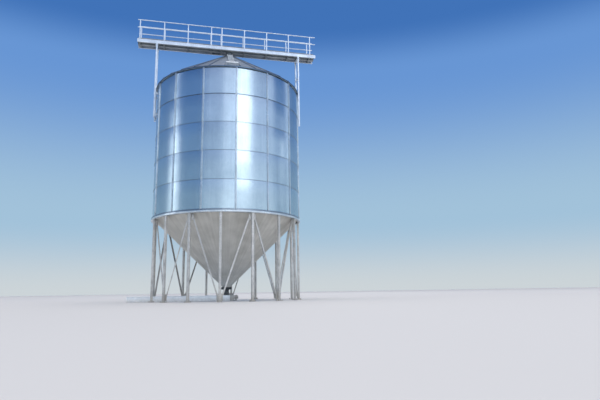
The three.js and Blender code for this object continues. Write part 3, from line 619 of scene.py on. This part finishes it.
# Seam stiffeners: a folded hat section over every vertical seam, one length to a ring, with a row
# of bolts through each of its flanges. Thicker plate than the sheets, with a satin zinc coat.
RIB_WIDE, RIB_PROUD = 0.05, 0.04
FLANGE_WIDE = 0.084
SEAM_BOLTS, SEAM_BOLT_STEP = 12, 0.1025
stiffener_zinc = dipped_zinc("galvanised_stiffener_plate", "#c4d0d9", "#9dacb8", 0.03, 0.32, 0.86)
for ring in range(RINGS):
    bm = bmesh.new()
    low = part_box(f"shell_ring_{ring + 1}")[0].z + 0.003
    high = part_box(f"shell_ring_{ring + 1}")[1].z - 0.003
    for i in range(SHEETS):
        turn = Matrix.Rotation(FIRST_SEAM + SHEET_STEP * i, 4, "Z")
        half = RIB_WIDE / 2
        bar(bm, (-half, -WALL_R - RIB_PROUD, low), (half, -WALL_R + 0.004, high), 0.007, 3, place=turn)
        flange = FLANGE_WIDE / 2
        bar(bm, (-flange, -LAP_R - 0.003, low), (flange, -WALL_R + 0.004, high), 0.0015, 1, place=turn)
        for n in range(SEAM_BOLTS):
            height = low + 0.06 + SEAM_BOLT_STEP * n
            for side in (-1, 1):
                at = turn @ Vector((side * (half + 0.008), -LAP_R - 0.002, height))
                round_bar(bm, at, at + turn @ Vector((0, -0.007, 0)), 0.007, sides=6, tip=0.004)
    stiffeners = made(bm, f"seam_stiffeners_{ring + 1}", stiffener_zinc)
    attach(stiffeners, "root")
    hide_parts(f"shell_ring_{ring + 1}")

# Eave ring: a rolled angle bolted round the top edge of the wall, which the roof panels rest on.
# Its zinc is painted a shade darker than the sheets', as painted shade under the roof's lip,
# so it draws the wall's top edge.
EAVE_INNER, EAVE_OUTER = 3.405, 3.455
shaded_eave_zinc = dipped_zinc("galvanised_eave_angle", "#a2b1be", "#8494a3", 0.035, 0.36, 0.85)
low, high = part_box("eave_ring")
bm = bmesh.new()
turned(bm, [(EAVE_INNER, low.z), (EAVE_OUTER, low.z), (EAVE_OUTER, high.z), (EAVE_INNER, high.z)],
       soften=0.003)
eave = made(bm, "eave_angle", shaded_eave_zinc)
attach(eave, "root")
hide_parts("eave_ring")

# Roof: thirty-two tapered sheet panels at 33 degrees. Each panel's edges are folded up into a rib
# that its neighbour laps over, and its outer end is folded down over the eave as a drip lip. Its
# zinc is painted a dark blue grey, as a painted reflection of the sky and painted shade at the
# eave lip, and the slope also mirrors the deep blue of the surround from above.
PANELS = 32
PANEL_THICK, PANEL_DIP = 0.012, 0.006
ROOF_SLOPE = radians(33)
ROOF_ACCESS = radians(-2)  # the line of the hatch and the ladder, midway between two ribs
FIRST_RIB = ROOF_ACCESS + pi / PANELS
ROOF_R = 3.485
ROOF_HOLE = 0.3
LIP = 0.04
RIB_HIGH, RIB_FOOT, RIB_TAPER = 0.032, 0.055, 0.45
RIB_START_R, RIB_END_R = ROOF_R - 0.022, 0.37
OVER_EAVE = 0.0143  # the panels' thickness, measured straight up
MID_R = 1.8
rise = tan(ROOF_SLOPE)
eave_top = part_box("eave_ring")[1].z


def roof_top(radius):
    """The height of the roof's outer surface at a radius."""
    return eave_top + OVER_EAVE + (EAVE_OUTER - radius) * rise


sky_painted_roof_zinc = dipped_zinc("galvanised_roof_sheet", "#61748a", "#4c5e70", 0.035, 0.34, 0.9)
bm = bmesh.new()
lip_foot = roof_top(ROOF_R) - LIP
lip_inside = ROOF_R - 0.006
turned(bm, [(ROOF_HOLE, roof_top(ROOF_HOLE) - PANEL_THICK), (MID_R, roof_top(MID_R) - PANEL_THICK),
            (lip_inside, roof_top(lip_inside) - PANEL_THICK), (lip_inside, lip_foot), (ROOF_R, lip_foot),
            (ROOF_R, roof_top(ROOF_R)), (MID_R, roof_top(MID_R)), (ROOF_HOLE, roof_top(ROOF_HOLE))])
for v in bm.verts:
    across = ((atan2(v.co.x, -v.co.y) - FIRST_RIB) / (2 * pi / PANELS)) % 1 * 2 - 1
    r = hypot(v.co.x, v.co.y)
    if ROOF_HOLE + 0.1 < r < ROOF_R - 0.02:
        v.co.z -= PANEL_DIP * (1 - across * across)
for i in range(PANELS):
    turn = Matrix.Rotation(FIRST_RIB + 2 * pi * i / PANELS, 4, "Z")
    start = Vector((0, -RIB_START_R, roof_top(RIB_START_R)))
    along = Vector((0, -RIB_END_R, roof_top(RIB_END_R))) - start
    rib = bmesh.ops.create_cube(bm, size=1)["verts"]
    for v in rib:
        # The rib is half as wide at its crown, and gets lower and narrower towards the peak.
        taper = 1.0 if v.co.z < 0 else RIB_TAPER
        crown = v.co.y > 0
        v.co.x *= RIB_FOOT * taper * (0.5 if crown else 1.0)
        v.co.y = RIB_HIGH * taper if crown else -0.006
        v.co.z = 0.0 if v.co.z < 0 else along.length
    bmesh.ops.transform(bm, matrix=turn @ facing(start, along), verts=rib)
    edges = {e for v in rib for e in v.link_edges}
    bmesh.ops.bevel(bm, geom=list(edges), offset=0.003, segments=2, profile=0.5, affect="EDGES", material=-1)
roof = made(bm, "roof_panels", sky_painted_roof_zinc, 30)
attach(roof, "root")
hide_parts("roof_cone")

# Roof collar: a pressed cone bolted over the panels' inner ends, with the filling neck welded to
# it. The spout's lower flange is bolted to the neck's top. Its zinc is dull, and painted dark grey
# as painted shade from the walkway above.
NECK_R = 0.15
COLLAR_R, COLLAR_BOLTS = 0.36, 16
SPOUT_R = 0.115
shaded_neck_zinc = dipped_zinc("dull_galvanised_neck_painted_shade", "#6d7780", "#566069", 0.03, 0.5, 0.6)
neck_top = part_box("roof_collar")[1].z
bm = bmesh.new()
over = 0.015
turned(bm, [(NECK_R - 0.01, roof_top(NECK_R) + 0.002), (COLLAR_R, roof_top(COLLAR_R) + 0.001),
            (COLLAR_R + 0.006, roof_top(COLLAR_R) + 0.001), (COLLAR_R, roof_top(COLLAR_R) + over),
            (NECK_R + 0.008, roof_top(NECK_R + 0.008) + over), (NECK_R, roof_top(NECK_R) + over + 0.001),
            (NECK_R, neck_top - 0.01), (NECK_R + 0.035, neck_top - 0.01), (NECK_R + 0.035, neck_top),
            (SPOUT_R - 0.01, neck_top), (SPOUT_R - 0.01, neck_top - 0.008), (NECK_R - 0.01, neck_top - 0.01)],
       steps=64, soften=0.0015)
for n in range(COLLAR_BOLTS):
    turn = Matrix.Rotation(2 * pi * n / COLLAR_BOLTS, 3, "Z")
    r = COLLAR_R - 0.03
    off_roof = turn @ Vector((0, -rise, 1))
    bolt(bm, turn @ Vector((0, -r, roof_top(r) + over)), off_roof, 0.016, 0.011)
    if n % 2 == 0:
        bolt(bm, turn @ Vector((0, -NECK_R - 0.018, neck_top - 0.01)), (0, 0, -1), 0.014, 0.009)
collar = made(bm, "roof_collar_and_neck", shaded_neck_zinc)
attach(collar, "root")
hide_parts("roof_collar")

# Spout: a short chute that slants from the conveyor's floor to the neck, rolled from plate, with a
# flat bolted flange at each end. It has the neck's dull zinc, painted dark as painted shade.
spout_low, spout_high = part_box("inlet_spout")
shift = spout_low.y + spout_high.y  # from the neck's middle to the conveyor's
tall = spout_high.z - spout_low.z
BORE, FLANGE, FLANGE_THICK = SPOUT_R - 0.02, SPOUT_R + 0.045, 0.008
FLANGE_BOLTS, FLANGE_BOLT_STEP = 6, radians(30)
bm = bmesh.new()
turned(bm, [(BORE, 0.002), (SPOUT_R, 0.002), (SPOUT_R, tall - 0.002), (BORE, tall - 0.002)], steps=48)
for v in bm.verts:
    v.co.y += v.co.z / tall * shift
top_flange = tall - FLANGE_THICK
for end, middle, seat, up in ((0.0, 0.0, FLANGE_THICK, 1), (top_flange, shift, top_flange, -1)):
    before = set(bm.verts)
    over = end + FLANGE_THICK
    turned(bm, [(BORE, end), (FLANGE, end), (FLANGE, over), (BORE, over)], steps=48)
    for n in range(FLANGE_BOLTS):
        # Bolts only on the side that the slanted tube leaves free.
        turn = (n - (FLANGE_BOLTS - 1) / 2) * FLANGE_BOLT_STEP + (0 if up > 0 else pi)
        turn = Matrix.Rotation(turn, 3, "Z")
        bolt(bm, turn @ Vector((0, -SPOUT_R - 0.028, seat)), (0, 0, up), 0.014, 0.009)
    added = [v for v in bm.verts if v not in before]
    bmesh.ops.translate(bm, verts=added, vec=(0, middle, 0))
bmesh.ops.translate(bm, verts=bm.verts, vec=(0, 0, spout_low.z))
spout = made(bm, "inlet_spout_tube", shaded_neck_zinc)
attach(spout, "root")
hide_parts("inlet_spout")

# Roof hatch: an oblong lid near the eave for looking into the bin, on a folded curb whose flange is
# bolted to the panel under it. The lid has a turned-down edge, two hinges and two screw clamps.
# Its zinc is paler and duller than the roof's.
HATCH_R = 3.05
HATCH_WIDE, HATCH_LONG, HATCH_HIGH = 0.56, 0.42, 0.095
HINGE_AT, FOLD_AT = 0.15, 0.12
HATCH_FLANGE, HATCH_FOLD, HATCH_BOLT = 0.03, 0.006, 0.014
on_roof = (Matrix.Rotation(ROOF_ACCESS, 4, "Z") @ Matrix.Translation((0, -HATCH_R, roof_top(HATCH_R)))
           @ Matrix.Rotation(ROOF_SLOPE, 4, "X"))
hatch_zinc = dipped_zinc("galvanised_hatch_plate", "#cbd4db", "#adb8c1", 0.03, 0.4, 0.45)
bm = bmesh.new()
wide, long = HATCH_WIDE / 2, HATCH_LONG / 2
bar(bm, (-wide, -long, -0.014), (wide, long, 0.003), 0.001)
curb_wide, curb_long = wide - HATCH_FLANGE, long - HATCH_FLANGE
bar(bm, (-curb_wide, -curb_long, -0.01), (curb_wide, curb_long, HATCH_HIGH - HATCH_FOLD), 0.006, 3)
lid = Vector((wide - 0.012, long - 0.012, 0))
bar(bm, Vector((0, 0, HATCH_HIGH - 0.034)) - lid, Vector((0, 0, HATCH_HIGH - 0.003)) + lid, 0.004, 3)
for side in (-1, 1):
    # A stiffening fold is pressed across each half of the lid, between its hinge and its clamp.
    fold = side * FOLD_AT
    bar(bm, (fold - 0.02, -curb_long, HATCH_HIGH - HATCH_FOLD), (fold + 0.02, curb_long, HATCH_HIGH), 0.003)
    # Each hinge is a round knuckle on a lug, and each clamp a flat arm on a round screw.
    x = side * HINGE_AT
    round_bar(bm, (x - 0.04, long - 0.006, 0.07), (x + 0.04, long - 0.006, 0.07), 0.008, 12)
    bar(bm, (x - 0.018, long - 0.03, 0.03), (x + 0.018, long - 0.012, 0.072), 0.002)
    bar(bm, (x - 0.015, -long - 0.002, 0.045), (x + 0.015, -long + 0.03, 0.057), 0.002)
    round_bar(bm, (x, -long + 0.006, 0.02), (x, -long + 0.006, HATCH_HIGH - 0.002), 0.007, 10)
    for n in range(4):
        bolt(bm, (side * (wide - HATCH_FLANGE / 2), -0.15 + 0.1 * n, 0.003), (0, 0, 1), HATCH_BOLT, 0.009)
for n in range(6):
    for edge in (-1, 1):
        at = (-0.225 + 0.09 * n, edge * (long - HATCH_FLANGE / 2), 0.003)
        bolt(bm, at, (0, 0, 1), HATCH_BOLT, 0.009)
grip = HATCH_HIGH - 0.004
round_bar(bm, (-0.06, -long + 0.045, grip), (0.06, -long + 0.045, grip), 0.007, 12)
bmesh.ops.transform(bm, matrix=on_roof, verts=bm.verts)
hatch = made(bm, "roof_hatch_box", hatch_zinc)
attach(hatch, "root")
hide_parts("roof_hatch")

# Roof ladder: two flat bars with round rungs welded between them, which stands off the panels on
# feet bolted through them. It leads down from the walkway to the hatch. Its dipped bars are the
# brightest steel on the roof.
ladder_zinc = dipped_zinc("hot_dip_galvanised_ladder", "#dde3e8", "#bdc7cf", 0.03, 0.42, 0.3)
LADDER_TOP_R = 0.44
LADDER_HALF = 0.12
STAND, STRINGER, STRINGER_THICK = 0.04, 0.05, 0.012
STEM_HALF, SHOE, SHOE_THICK = 0.02, 0.04, 0.005
RUNG_R, RUNG_STEP = 0.012, 0.28
bm = bmesh.new()
foot = long + 0.06
top = (HATCH_R - LADDER_TOP_R) / cos(ROOF_SLOPE)
for side in (-1, 1):
    inner, outer = sorted((side * LADDER_HALF, side * (LADDER_HALF - STRINGER_THICK)))
    bar(bm, (inner, foot, STAND), (outer, top, STAND + STRINGER), 0.003, 2)
    for at in (foot + 0.08, (foot + top) / 2, top - 0.08):
        bar(bm, (inner, at - STEM_HALF, -0.02), (outer, at + STEM_HALF, STAND + 0.01), 0.002)
        shoe = sorted((side * LADDER_HALF, side * (LADDER_HALF + SHOE)))
        # The cone falls away to both sides of the line down its slope, and the shoes follow it.
        drop = (1.2 * LADDER_HALF) ** 2 / (2 * (HATCH_R - at * cos(ROOF_SLOPE))) * sin(ROOF_SLOPE)
        seat = SHOE_THICK - drop
        bar(bm, (shoe[0], at - STEM_HALF, -drop - 0.003), (shoe[1], at + STEM_HALF, seat), 0.001)
        bolt(bm, (side * (LADDER_HALF + 0.022), at, seat), (0, 0, 1), 0.014, 0.009)
for n in range(int((top - foot - 0.08) / RUNG_STEP) + 1):
    at = foot + 0.052 + RUNG_STEP * n
    middle = STAND + STRINGER / 2
    round_bar(bm, (-LADDER_HALF + 0.004, at, middle), (LADDER_HALF - 0.004, at, middle), RUNG_R, 12)
bmesh.ops.transform(bm, matrix=on_roof, verts=bm.verts)
roof_ladder = made(bm, "roof_ladder_rungs", ladder_zinc)
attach(roof_ladder, "root")
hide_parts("roof_ladder")

# Walkway supports: on each side of the silo a pair of square posts, bracketed to the top of the
# wall, tied across, and joined by a crosshead that the walkway rests on. They are hot-dip
# galvanised, a pale and even grey, with a faint blue painted in as a reflection of the sky.
SUPPORT_X, SUPPORT_Y, SUPPORT_SIZE = 3.53, 0.31, 0.08
SUPPORT_FOOT = 8.6
CROSSHEAD, CAP_THICK, CAP_LIP = 0.08, 0.02, 0.02
BRACKETS = (8.75, 9.8)
BRACKET_WIDE, BRACKET_HALF, BRACKET_PLATE, BRACKET_WEB = 0.06, 0.05, 0.008, 0.01
TIES = (8.75, 10.3, 11.25)
TIE_HALF, TIE_PLATE = 0.025, 0.01
SUPPORT_BOLT = 0.022
sky_tinted_walkway_zinc = dipped_zinc("hot_dip_galvanised_walkway", "#dde7f2", "#bccad9", 0.03, 0.4, 0.4)
for side, name in ((-1, "left"), (1, "right")):
    low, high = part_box(f"walkway_support_{name}")
    bm = bmesh.new()
    half = SUPPORT_SIZE / 2
    x = side * SUPPORT_X
    post_top = high.z - CROSSHEAD
    bar(bm, (x - half, low.y, post_top), (x + half, high.y, high.z), 0.008, 3, lengthwise=1)
    for y in (-SUPPORT_Y, SUPPORT_Y):
        bar(bm, (x - half, y - half, SUPPORT_FOOT), (x + half, y + half, post_top), 0.01, 3, lengthwise=2)
        bar(bm, (x - half - CAP_LIP, y - half, post_top - CAP_THICK),
            (x + half + CAP_LIP, y + half, post_top), 0.002)
        for z in BRACKETS:
            # A bracket is two flat plates with an upright one between them, from wall to post.
            inner = side * (WALL_R - 0.04)
            reach = sorted((inner, x))
            edge = BRACKET_WIDE / 2
            for shelf in (z - BRACKET_HALF, z + BRACKET_HALF - BRACKET_PLATE):
                bar(bm, (reach[0], y - edge, shelf), (reach[1], y + edge, shelf + BRACKET_PLATE), 0.001, 1)
            web, tall = BRACKET_WEB / 2, BRACKET_HALF - 0.002
            bar(bm, (reach[0], y - web, z - tall), (reach[1], y + web, z + tall), 0.001, 1)
            for drop in (-0.025, 0.025):
                bolt(bm, (x + side * half, y, z + drop), (side, 0, 0), SUPPORT_BOLT, 0.013)
    # Each tie is a square section between two end plates.
    for z in TIES:
        bar(bm, (x - TIE_HALF, -SUPPORT_Y, z - TIE_HALF), (x + TIE_HALF, SUPPORT_Y, z + TIE_HALF), 0.006, 3,
            lengthwise=1)
        for y in (-SUPPORT_Y, SUPPORT_Y):
            inner = y - half if y > 0 else y + half
            edge = sorted((inner, inner + (-TIE_PLATE if y > 0 else TIE_PLATE)))
            bar(bm, (x - 0.04, edge[0], z - 0.06), (x + 0.04, edge[1], z + 0.06), 0.002)
    support = made(bm, f"walkway_support_{name}_posts", sky_tinted_walkway_zinc)
    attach(support, "root")
    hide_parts(f"walkway_support_{name}")

# Walkway frame: two lengths, spliced end to end. Each has a channel down both sides with its back
# outside. Square cross members under the railing posts tie the channels, and two angles on them
# carry the deck. These inner members' zinc is painted darker than the channels', as painted shade
# under the deck.
BEAM_OUTER, BEAM_FLANGE, BEAM_PLATE = 0.35, 0.05, 0.008
CROSS = 0.06
POSTS = 9
BAY, SHORT_BAY = 1.14, 0.518
FIRST_POST_X, SPLICE_POST = -4.34, 3
POST_BOLT = 0.022
SPLICE_REACH = 0.2
UNDER_DECK = 0.0003
splice_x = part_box("walkway_deck_left")[1].x
beam_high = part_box("walkway_frame_left")[1].z


def post_x(n):
    """The place of railing post n: equal bays, but for a short one over the splice."""
    return FIRST_POST_X + BAY * n - (BAY - SHORT_BAY if n > SPLICE_POST else 0.0)


def rolled(bm, outline, start, end, soften=0.002):
    """A rolled section: an outline of (y, z) points drawn out along X, its long edges softened."""
    corners = [bm.verts.new((start, y, z)) for y, z in outline]
    face = bm.faces.new(corners)
    drawn = bmesh.ops.extrude_face_region(bm, geom=[face])["geom"]
    moved = [v for v in drawn if isinstance(v, bmesh.types.BMVert)]
    bmesh.ops.translate(bm, verts=moved, vec=(end - start, 0, 0))
    long = [e for v in moved for e in v.link_edges if abs(e.verts[0].co.x - e.verts[1].co.x) > 1e-6]
    bmesh.ops.bevel(bm, geom=long, offset=soften, segments=2, profile=0.5, affect="EDGES", material=-1)


shaded_inner_zinc = dipped_zinc("shaded_galvanised_members", "#8b9499", "#707a80", 0.03, 0.5, 0.4)
for name in ("left", "right"):
    low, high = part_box(f"walkway_frame_{name}")
    bm = bmesh.new()
    for side in (-1, 1):
        web, tip = BEAM_OUTER, BEAM_OUTER - BEAM_FLANGE
        outline = [(web, low.z), (web, high.z), (tip, high.z), (tip, high.z - BEAM_PLATE),
                   (web - BEAM_PLATE, high.z - BEAM_PLATE), (web - BEAM_PLATE, low.z + BEAM_PLATE),
                   (tip, low.z + BEAM_PLATE), (tip, low.z)]
        rolled(bm, [(side * y, z) for y, z in outline], low.x, high.x, 0.003)
        for n in range(POSTS):
            if low.x < post_x(n) < high.x:
                for height in (0.045, 0.115):
                    at = (post_x(n), side * BEAM_OUTER, low.z + height)
                    bolt(bm, at, (0, side, 0), POST_BOLT, 0.013)
    channels = made(bm, f"walkway_frame_{name}_channels", sky_tinted_walkway_zinc)
    bm = bmesh.new()
    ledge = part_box("walkway_deck_left")[0].z - UNDER_DECK
    rolled(bm, [(-0.305, ledge), (-0.27, ledge), (-0.27, ledge - 0.004), (-0.301, ledge - 0.004),
                (-0.301, ledge - 0.03), (-0.305, ledge - 0.03)], low.x, high.x, 0.001)
    rolled(bm, [(0.01, ledge), (0.04, ledge), (0.04, low.z + CROSS), (0.035, low.z + CROSS),
                (0.035, ledge - 0.005), (0.01, ledge - 0.005)], low.x, high.x, 0.001)
    for n in range(POSTS):
        x = post_x(n)
        if low.x < x < high.x:
            bar(bm, (x - CROSS / 2, -0.343, low.z + 0.001), (x + CROSS / 2, 0.343, low.z + CROSS), 0.006, 3,
                lengthwise=1)
    # A splice plate lies inside each channel, at the end that meets the other length.
    edge = (low.x, low.x + SPLICE_REACH) if name == "right" else (high.x - SPLICE_REACH, high.x)
    for side in (-1, 1):
        y = sorted((side * (BEAM_OUTER - BEAM_PLATE), side * (BEAM_OUTER - 2 * BEAM_PLATE)))
        bar(bm, (edge[0], y[0], low.z + 0.02), (edge[1], y[1], high.z - 0.02), 0.002)
    members = made(bm, f"walkway_frame_{name}_members", shaded_inner_zinc)
    for piece in (channels, members):
        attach(piece, "root")
        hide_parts(f"walkway_frame_{name}")

# Deck: open steel grating: flat bearing bars across the walkway every 34 mm, thin rods along it
# and a flat bar round its edges. The zinc on it has gone dull and trodden, and is painted a dark
# brownish grey as painted shade under the walkway, with a painted reflection of the ground.
shaded_grating_zinc = dipped_zinc("trodden_shaded_galvanised_grating", "#7f7e75", "#5f5e57", 0.03, 0.55, 0.5)
BAR_SPACING, BAR_HALF = 0.034, 0.002
EDGE_BAR = 0.004
RODS, ROD_MARGIN, ROD_HALF = 6, 0.05, 0.003
for name in ("left", "right"):
    low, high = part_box(f"walkway_deck_{name}")
    bm = bmesh.new()
    for y in (low.y, high.y - EDGE_BAR):
        bar(bm, (low.x, y, low.z), (high.x, y + EDGE_BAR, high.z), 0)
    count = int((high.x - low.x) / BAR_SPACING)
    for n in range(count + 1):
        x = low.x + 0.003 + (high.x - low.x - 0.006) * n / count
        bar(bm, (x - BAR_HALF, low.y, low.z + 0.002), (x + BAR_HALF, high.y, high.z - 0.002), 0)
    for n in range(RODS):
        y = low.y + ROD_MARGIN + (high.y - low.y - 2 * ROD_MARGIN) * n / (RODS - 1)
        bar(bm, (low.x, y - ROD_HALF, high.z - 0.008), (high.x, y + ROD_HALF, high.z - 0.002), 0)
    deck = made(bm, f"walkway_grating_{name}", shaded_grating_zinc)
    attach(deck, "root")
    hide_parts(f"walkway_deck_{name}")

# Railings: square posts bolted to the side channels, with a round top rail and a round middle
# rail through their heads and middles, sleeved over the splice. Hot-dip galvanised.
RAIL_Y = 0.325
RAIL_R = 0.021
SLEEVE, SLEEVE_HALF = 0.003, 0.06
POST_SIZE, POST_FOOT, POST_PLATE = 0.05, 0.1, 0.008
MID_RAIL = 0.61  # above the walkway frame
for side, name in ((-1, "front"), (1, "rear")):
    low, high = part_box(f"railing_{name}")
    y = side * RAIL_Y
    bm = bmesh.new()
    for z in (high.z - RAIL_R - SLEEVE, beam_high + MID_RAIL):
        round_bar(bm, (low.x, y, z), (high.x, y, z), RAIL_R, 20)
        round_bar(bm, (splice_x - SLEEVE_HALF, y, z), (splice_x + SLEEVE_HALF, y, z), RAIL_R + SLEEVE, 20)
    for n in range(POSTS):
        x = post_x(n)
        half, foot = POST_SIZE / 2, POST_FOOT / 2
        bar(bm, (x - half, y - half, low.z), (x + half, y + half, high.z - RAIL_R - 0.004), 0.006, 3,
            lengthwise=2)
        bar(bm, (x - foot, y - half, low.z), (x + foot, y + half, low.z + POST_PLATE), 0.0015)
        clamp = Vector((half + 0.004, half + 0.002, 0.028))
        middle = Vector((x, y, beam_high + MID_RAIL))
        bar(bm, middle - clamp, middle + clamp, 0.003)
        for across in (-0.038, 0.038):
            bolt(bm, (x + across, y, low.z + POST_PLATE), (0, 0, 1), 0.016, 0.011)
    railing = made(bm, f"railing_{name}_tubes", sky_tinted_walkway_zinc)
    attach(railing, "root")
    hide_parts(f"railing_{name}")

# Filling conveyor: a folded trough on the walkway's cross members, in flanged lengths of 3 m, with
# a lipped lid that clamps hold down. Its zinc has greyed evenly in the weather.
casing_zinc = dipped_zinc("weathered_galvanised_casing", "#aab1b7", "#8b929a", 0.035, 0.42, 0.6)
low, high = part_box("filling_conveyor")
FRONT, REAR = 0.05, 0.27
CASING_JOINTS, CASING_LENGTH, CASING_FLANGE = 3, 3.0, 0.016
CASING_LID, CASING_LIP, LIP_PLATE = 0.006, 0.02, 0.003
CASING_CLAMPS, CASING_CLAMP_STEP = 14, 0.63
bm = bmesh.new()
bar(bm, (low.x, FRONT, low.z), (high.x, REAR, high.z - 0.004), 0.004)
bar(bm, (low.x, low.y, high.z - CASING_LID), (high.x, high.y, high.z), 0.002)
for y in (low.y, high.y - LIP_PLATE):
    bar(bm, (low.x, y, high.z - CASING_LIP), (high.x, y + LIP_PLATE, high.z - 0.003), 0.001, 1)
for n in range(CASING_JOINTS):
    x = splice_x + CASING_LENGTH * (n - 1)
    half = CASING_FLANGE / 2
    bar(bm, (x - half, FRONT - 0.008, low.z + 0.002), (x + half, REAR + 0.03, high.z + 0.02), 0.002)
    for height in (0.05, 0.13, 0.21, 0.29):
        for side in (-1, 1):
            bolt(bm, (x + side * half, REAR + 0.015, low.z + height), (side, 0, 0), 0.014, 0.01)
for n in range(CASING_CLAMPS):
    x = low.x + 0.35 + CASING_CLAMP_STEP * n
    for y in (FRONT - 0.009, REAR + 0.009):
        bar(bm, (x - 0.014, y - 0.007, high.z - 0.09), (x + 0.014, y + 0.007, high.z + 0.006), 0.002)
filling = made(bm, "filling_trough", casing_zinc)
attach(filling, "root")
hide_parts("filling_conveyor")

# Floor, light and camera: a pale floor, tall soft lights round the silo that show as the bright
# bands on its wall, with narrow ones for its seams, and the camera where the photograph's stood,
# low in front.
FLOOR_HALF = 400
FLOOR_Z = -0.002  # just under the base plates, so that no faces coincide
LENS = 29.3
CAMERA_AT = (-1.875, -23.305, 0.37)
CAMERA_TURN, CAMERA_TILT, CAMERA_ROLL = radians(-13.2), radians(100.6), radians(-0.89)
bm = bmesh.new()
bmesh.ops.create_grid(bm, x_segments=1, y_segments=1, size=FLOOR_HALF)
bmesh.ops.translate(bm, verts=bm.verts, vec=(0, 0, FLOOR_Z))
floor_paint = bpy.data.materials.new("pale_floor")
floor_paint.use_nodes = True
floor_shader = floor_paint.node_tree.nodes["Principled BSDF"]
floor_shader.inputs["Base Color"].default_value = linear("#cdcbc7")
floor_shader.inputs["Roughness"].default_value = 0.9
floor = made(bm, "floor", floor_paint)

# The surround is pale at the floor and blue where the wall mirrors it, from 10 to 30 degrees up,
# deepest at the top of that. The roof mirrors the blue higher up. Overhead it is a bright warm
# white that lights the floor evenly.
world = bpy.data.worlds.new("studio_surround")
world.use_nodes = True
tree = world.node_tree
toward = add_node(tree, "SeparateXYZ", {0: add_node(tree, "TexCoord").outputs["Generated"]}).outputs[2]
glow = linear("#ccd4d8")
for low, high, code, strength in ((0.0, 0.14, "#a2c2da", 1.0), (0.14, 0.42, "#6896d4", 1.0),
                                  (0.42, 0.5, "#4173b8", 1.0), (0.7, 0.86, "#fff8f1", 2.1)):
    share = add_node(tree, "MapRange", {0: toward, 1: low, 2: high}, interpolation_type="SMOOTHSTEP")
    above = [strength * c for c in linear(code)[:3]] + [1]
    glow = add_node(tree, "Mix", {0: share.outputs[0], 6: glow, 7: above}, data_type="RGBA").outputs[2]
tree.links.new(glow, tree.nodes["Background"].inputs["Color"])
bpy.context.scene.world = world
bpy.context.scene.view_settings.view_transform = "Standard"

# Each light is a tall panel that stands far off, facing the silo: its bearing in degrees from -Y
# towards +X, its width and the heights of its foot and top in degrees as well, and its radiance.
# Where two overlap they stand one in front of the other, so that the wall mirrors both.
LIGHTS = (
    ("key", 80.0, 20.75, 24.5, 2.0, 42.0, 0.85),
    ("key_high", 78.0, 19.5, 22.0, 18.2, 42.0, 1.7),
    ("left", 80.0, -93.0, 24.0, 2.0, 24.5, 1.15),
    ("left_seam", 78.0, -89.4, 3.5, 12.0, 40.0, 1.5),
    ("front", 80.0, -15.5, 42.0, 2.0, 40.0, 0.42),
    ("front_middle", 78.0, -2.0, 22.0, 2.0, 40.0, 0.55),
    ("front_seam", 80.0, -41.4, 3.5, 12.0, 40.0, 0.7),
    ("right", 80.0, 53.0, 42.0, 2.0, 40.0, 0.56),
    ("right_edge", 80.0, 86.0, 24.0, 13.0, 25.0, 0.28),
    ("right_line", 78.0, 88.0, 4.0, 12.0, 23.0, 0.8),
    ("rear", 80.0, 162.0, 20.0, 11.0, 35.0, 2.0),
    ("rear_right", 80.0, 104.0, 11.0, 2.0, 35.0, 0.7),
)
for name, distance, bearing, width, low, high, radiance in LIGHTS:
    data = bpy.data.lights.new(name, "AREA")
    data.shape = "RECTANGLE"
    data.size = 2 * distance * tan(radians(width / 2))
    foot, top = distance * tan(radians(low)), distance * tan(radians(high))
    data.size_y = top - foot
    data.energy = radiance * pi * data.size * data.size_y
    lamp = bpy.data.objects.new(name, data)
    turn = radians(bearing)
    at = Vector((distance * sin(turn), -distance * cos(turn), (foot + top) / 2))
    lamp.matrix_world = facing(at, at - Vector((0, 0, at.z)))
    bpy.context.scene.collection.objects.link(lamp)

camera_data = bpy.data.cameras.new("camera")
camera_data.lens = LENS
camera = bpy.data.objects.new("camera", camera_data)
aim = Matrix.Rotation(CAMERA_TURN, 4, "Z") @ Matrix.Rotation(CAMERA_TILT, 4, "X")
roll = Matrix.Rotation(CAMERA_ROLL, 4, "Z")
camera.matrix_world = Matrix.Translation(CAMERA_AT) @ aim @ roll
bpy.context.scene.collection.objects.link(camera)
bpy.context.scene.camera = camera
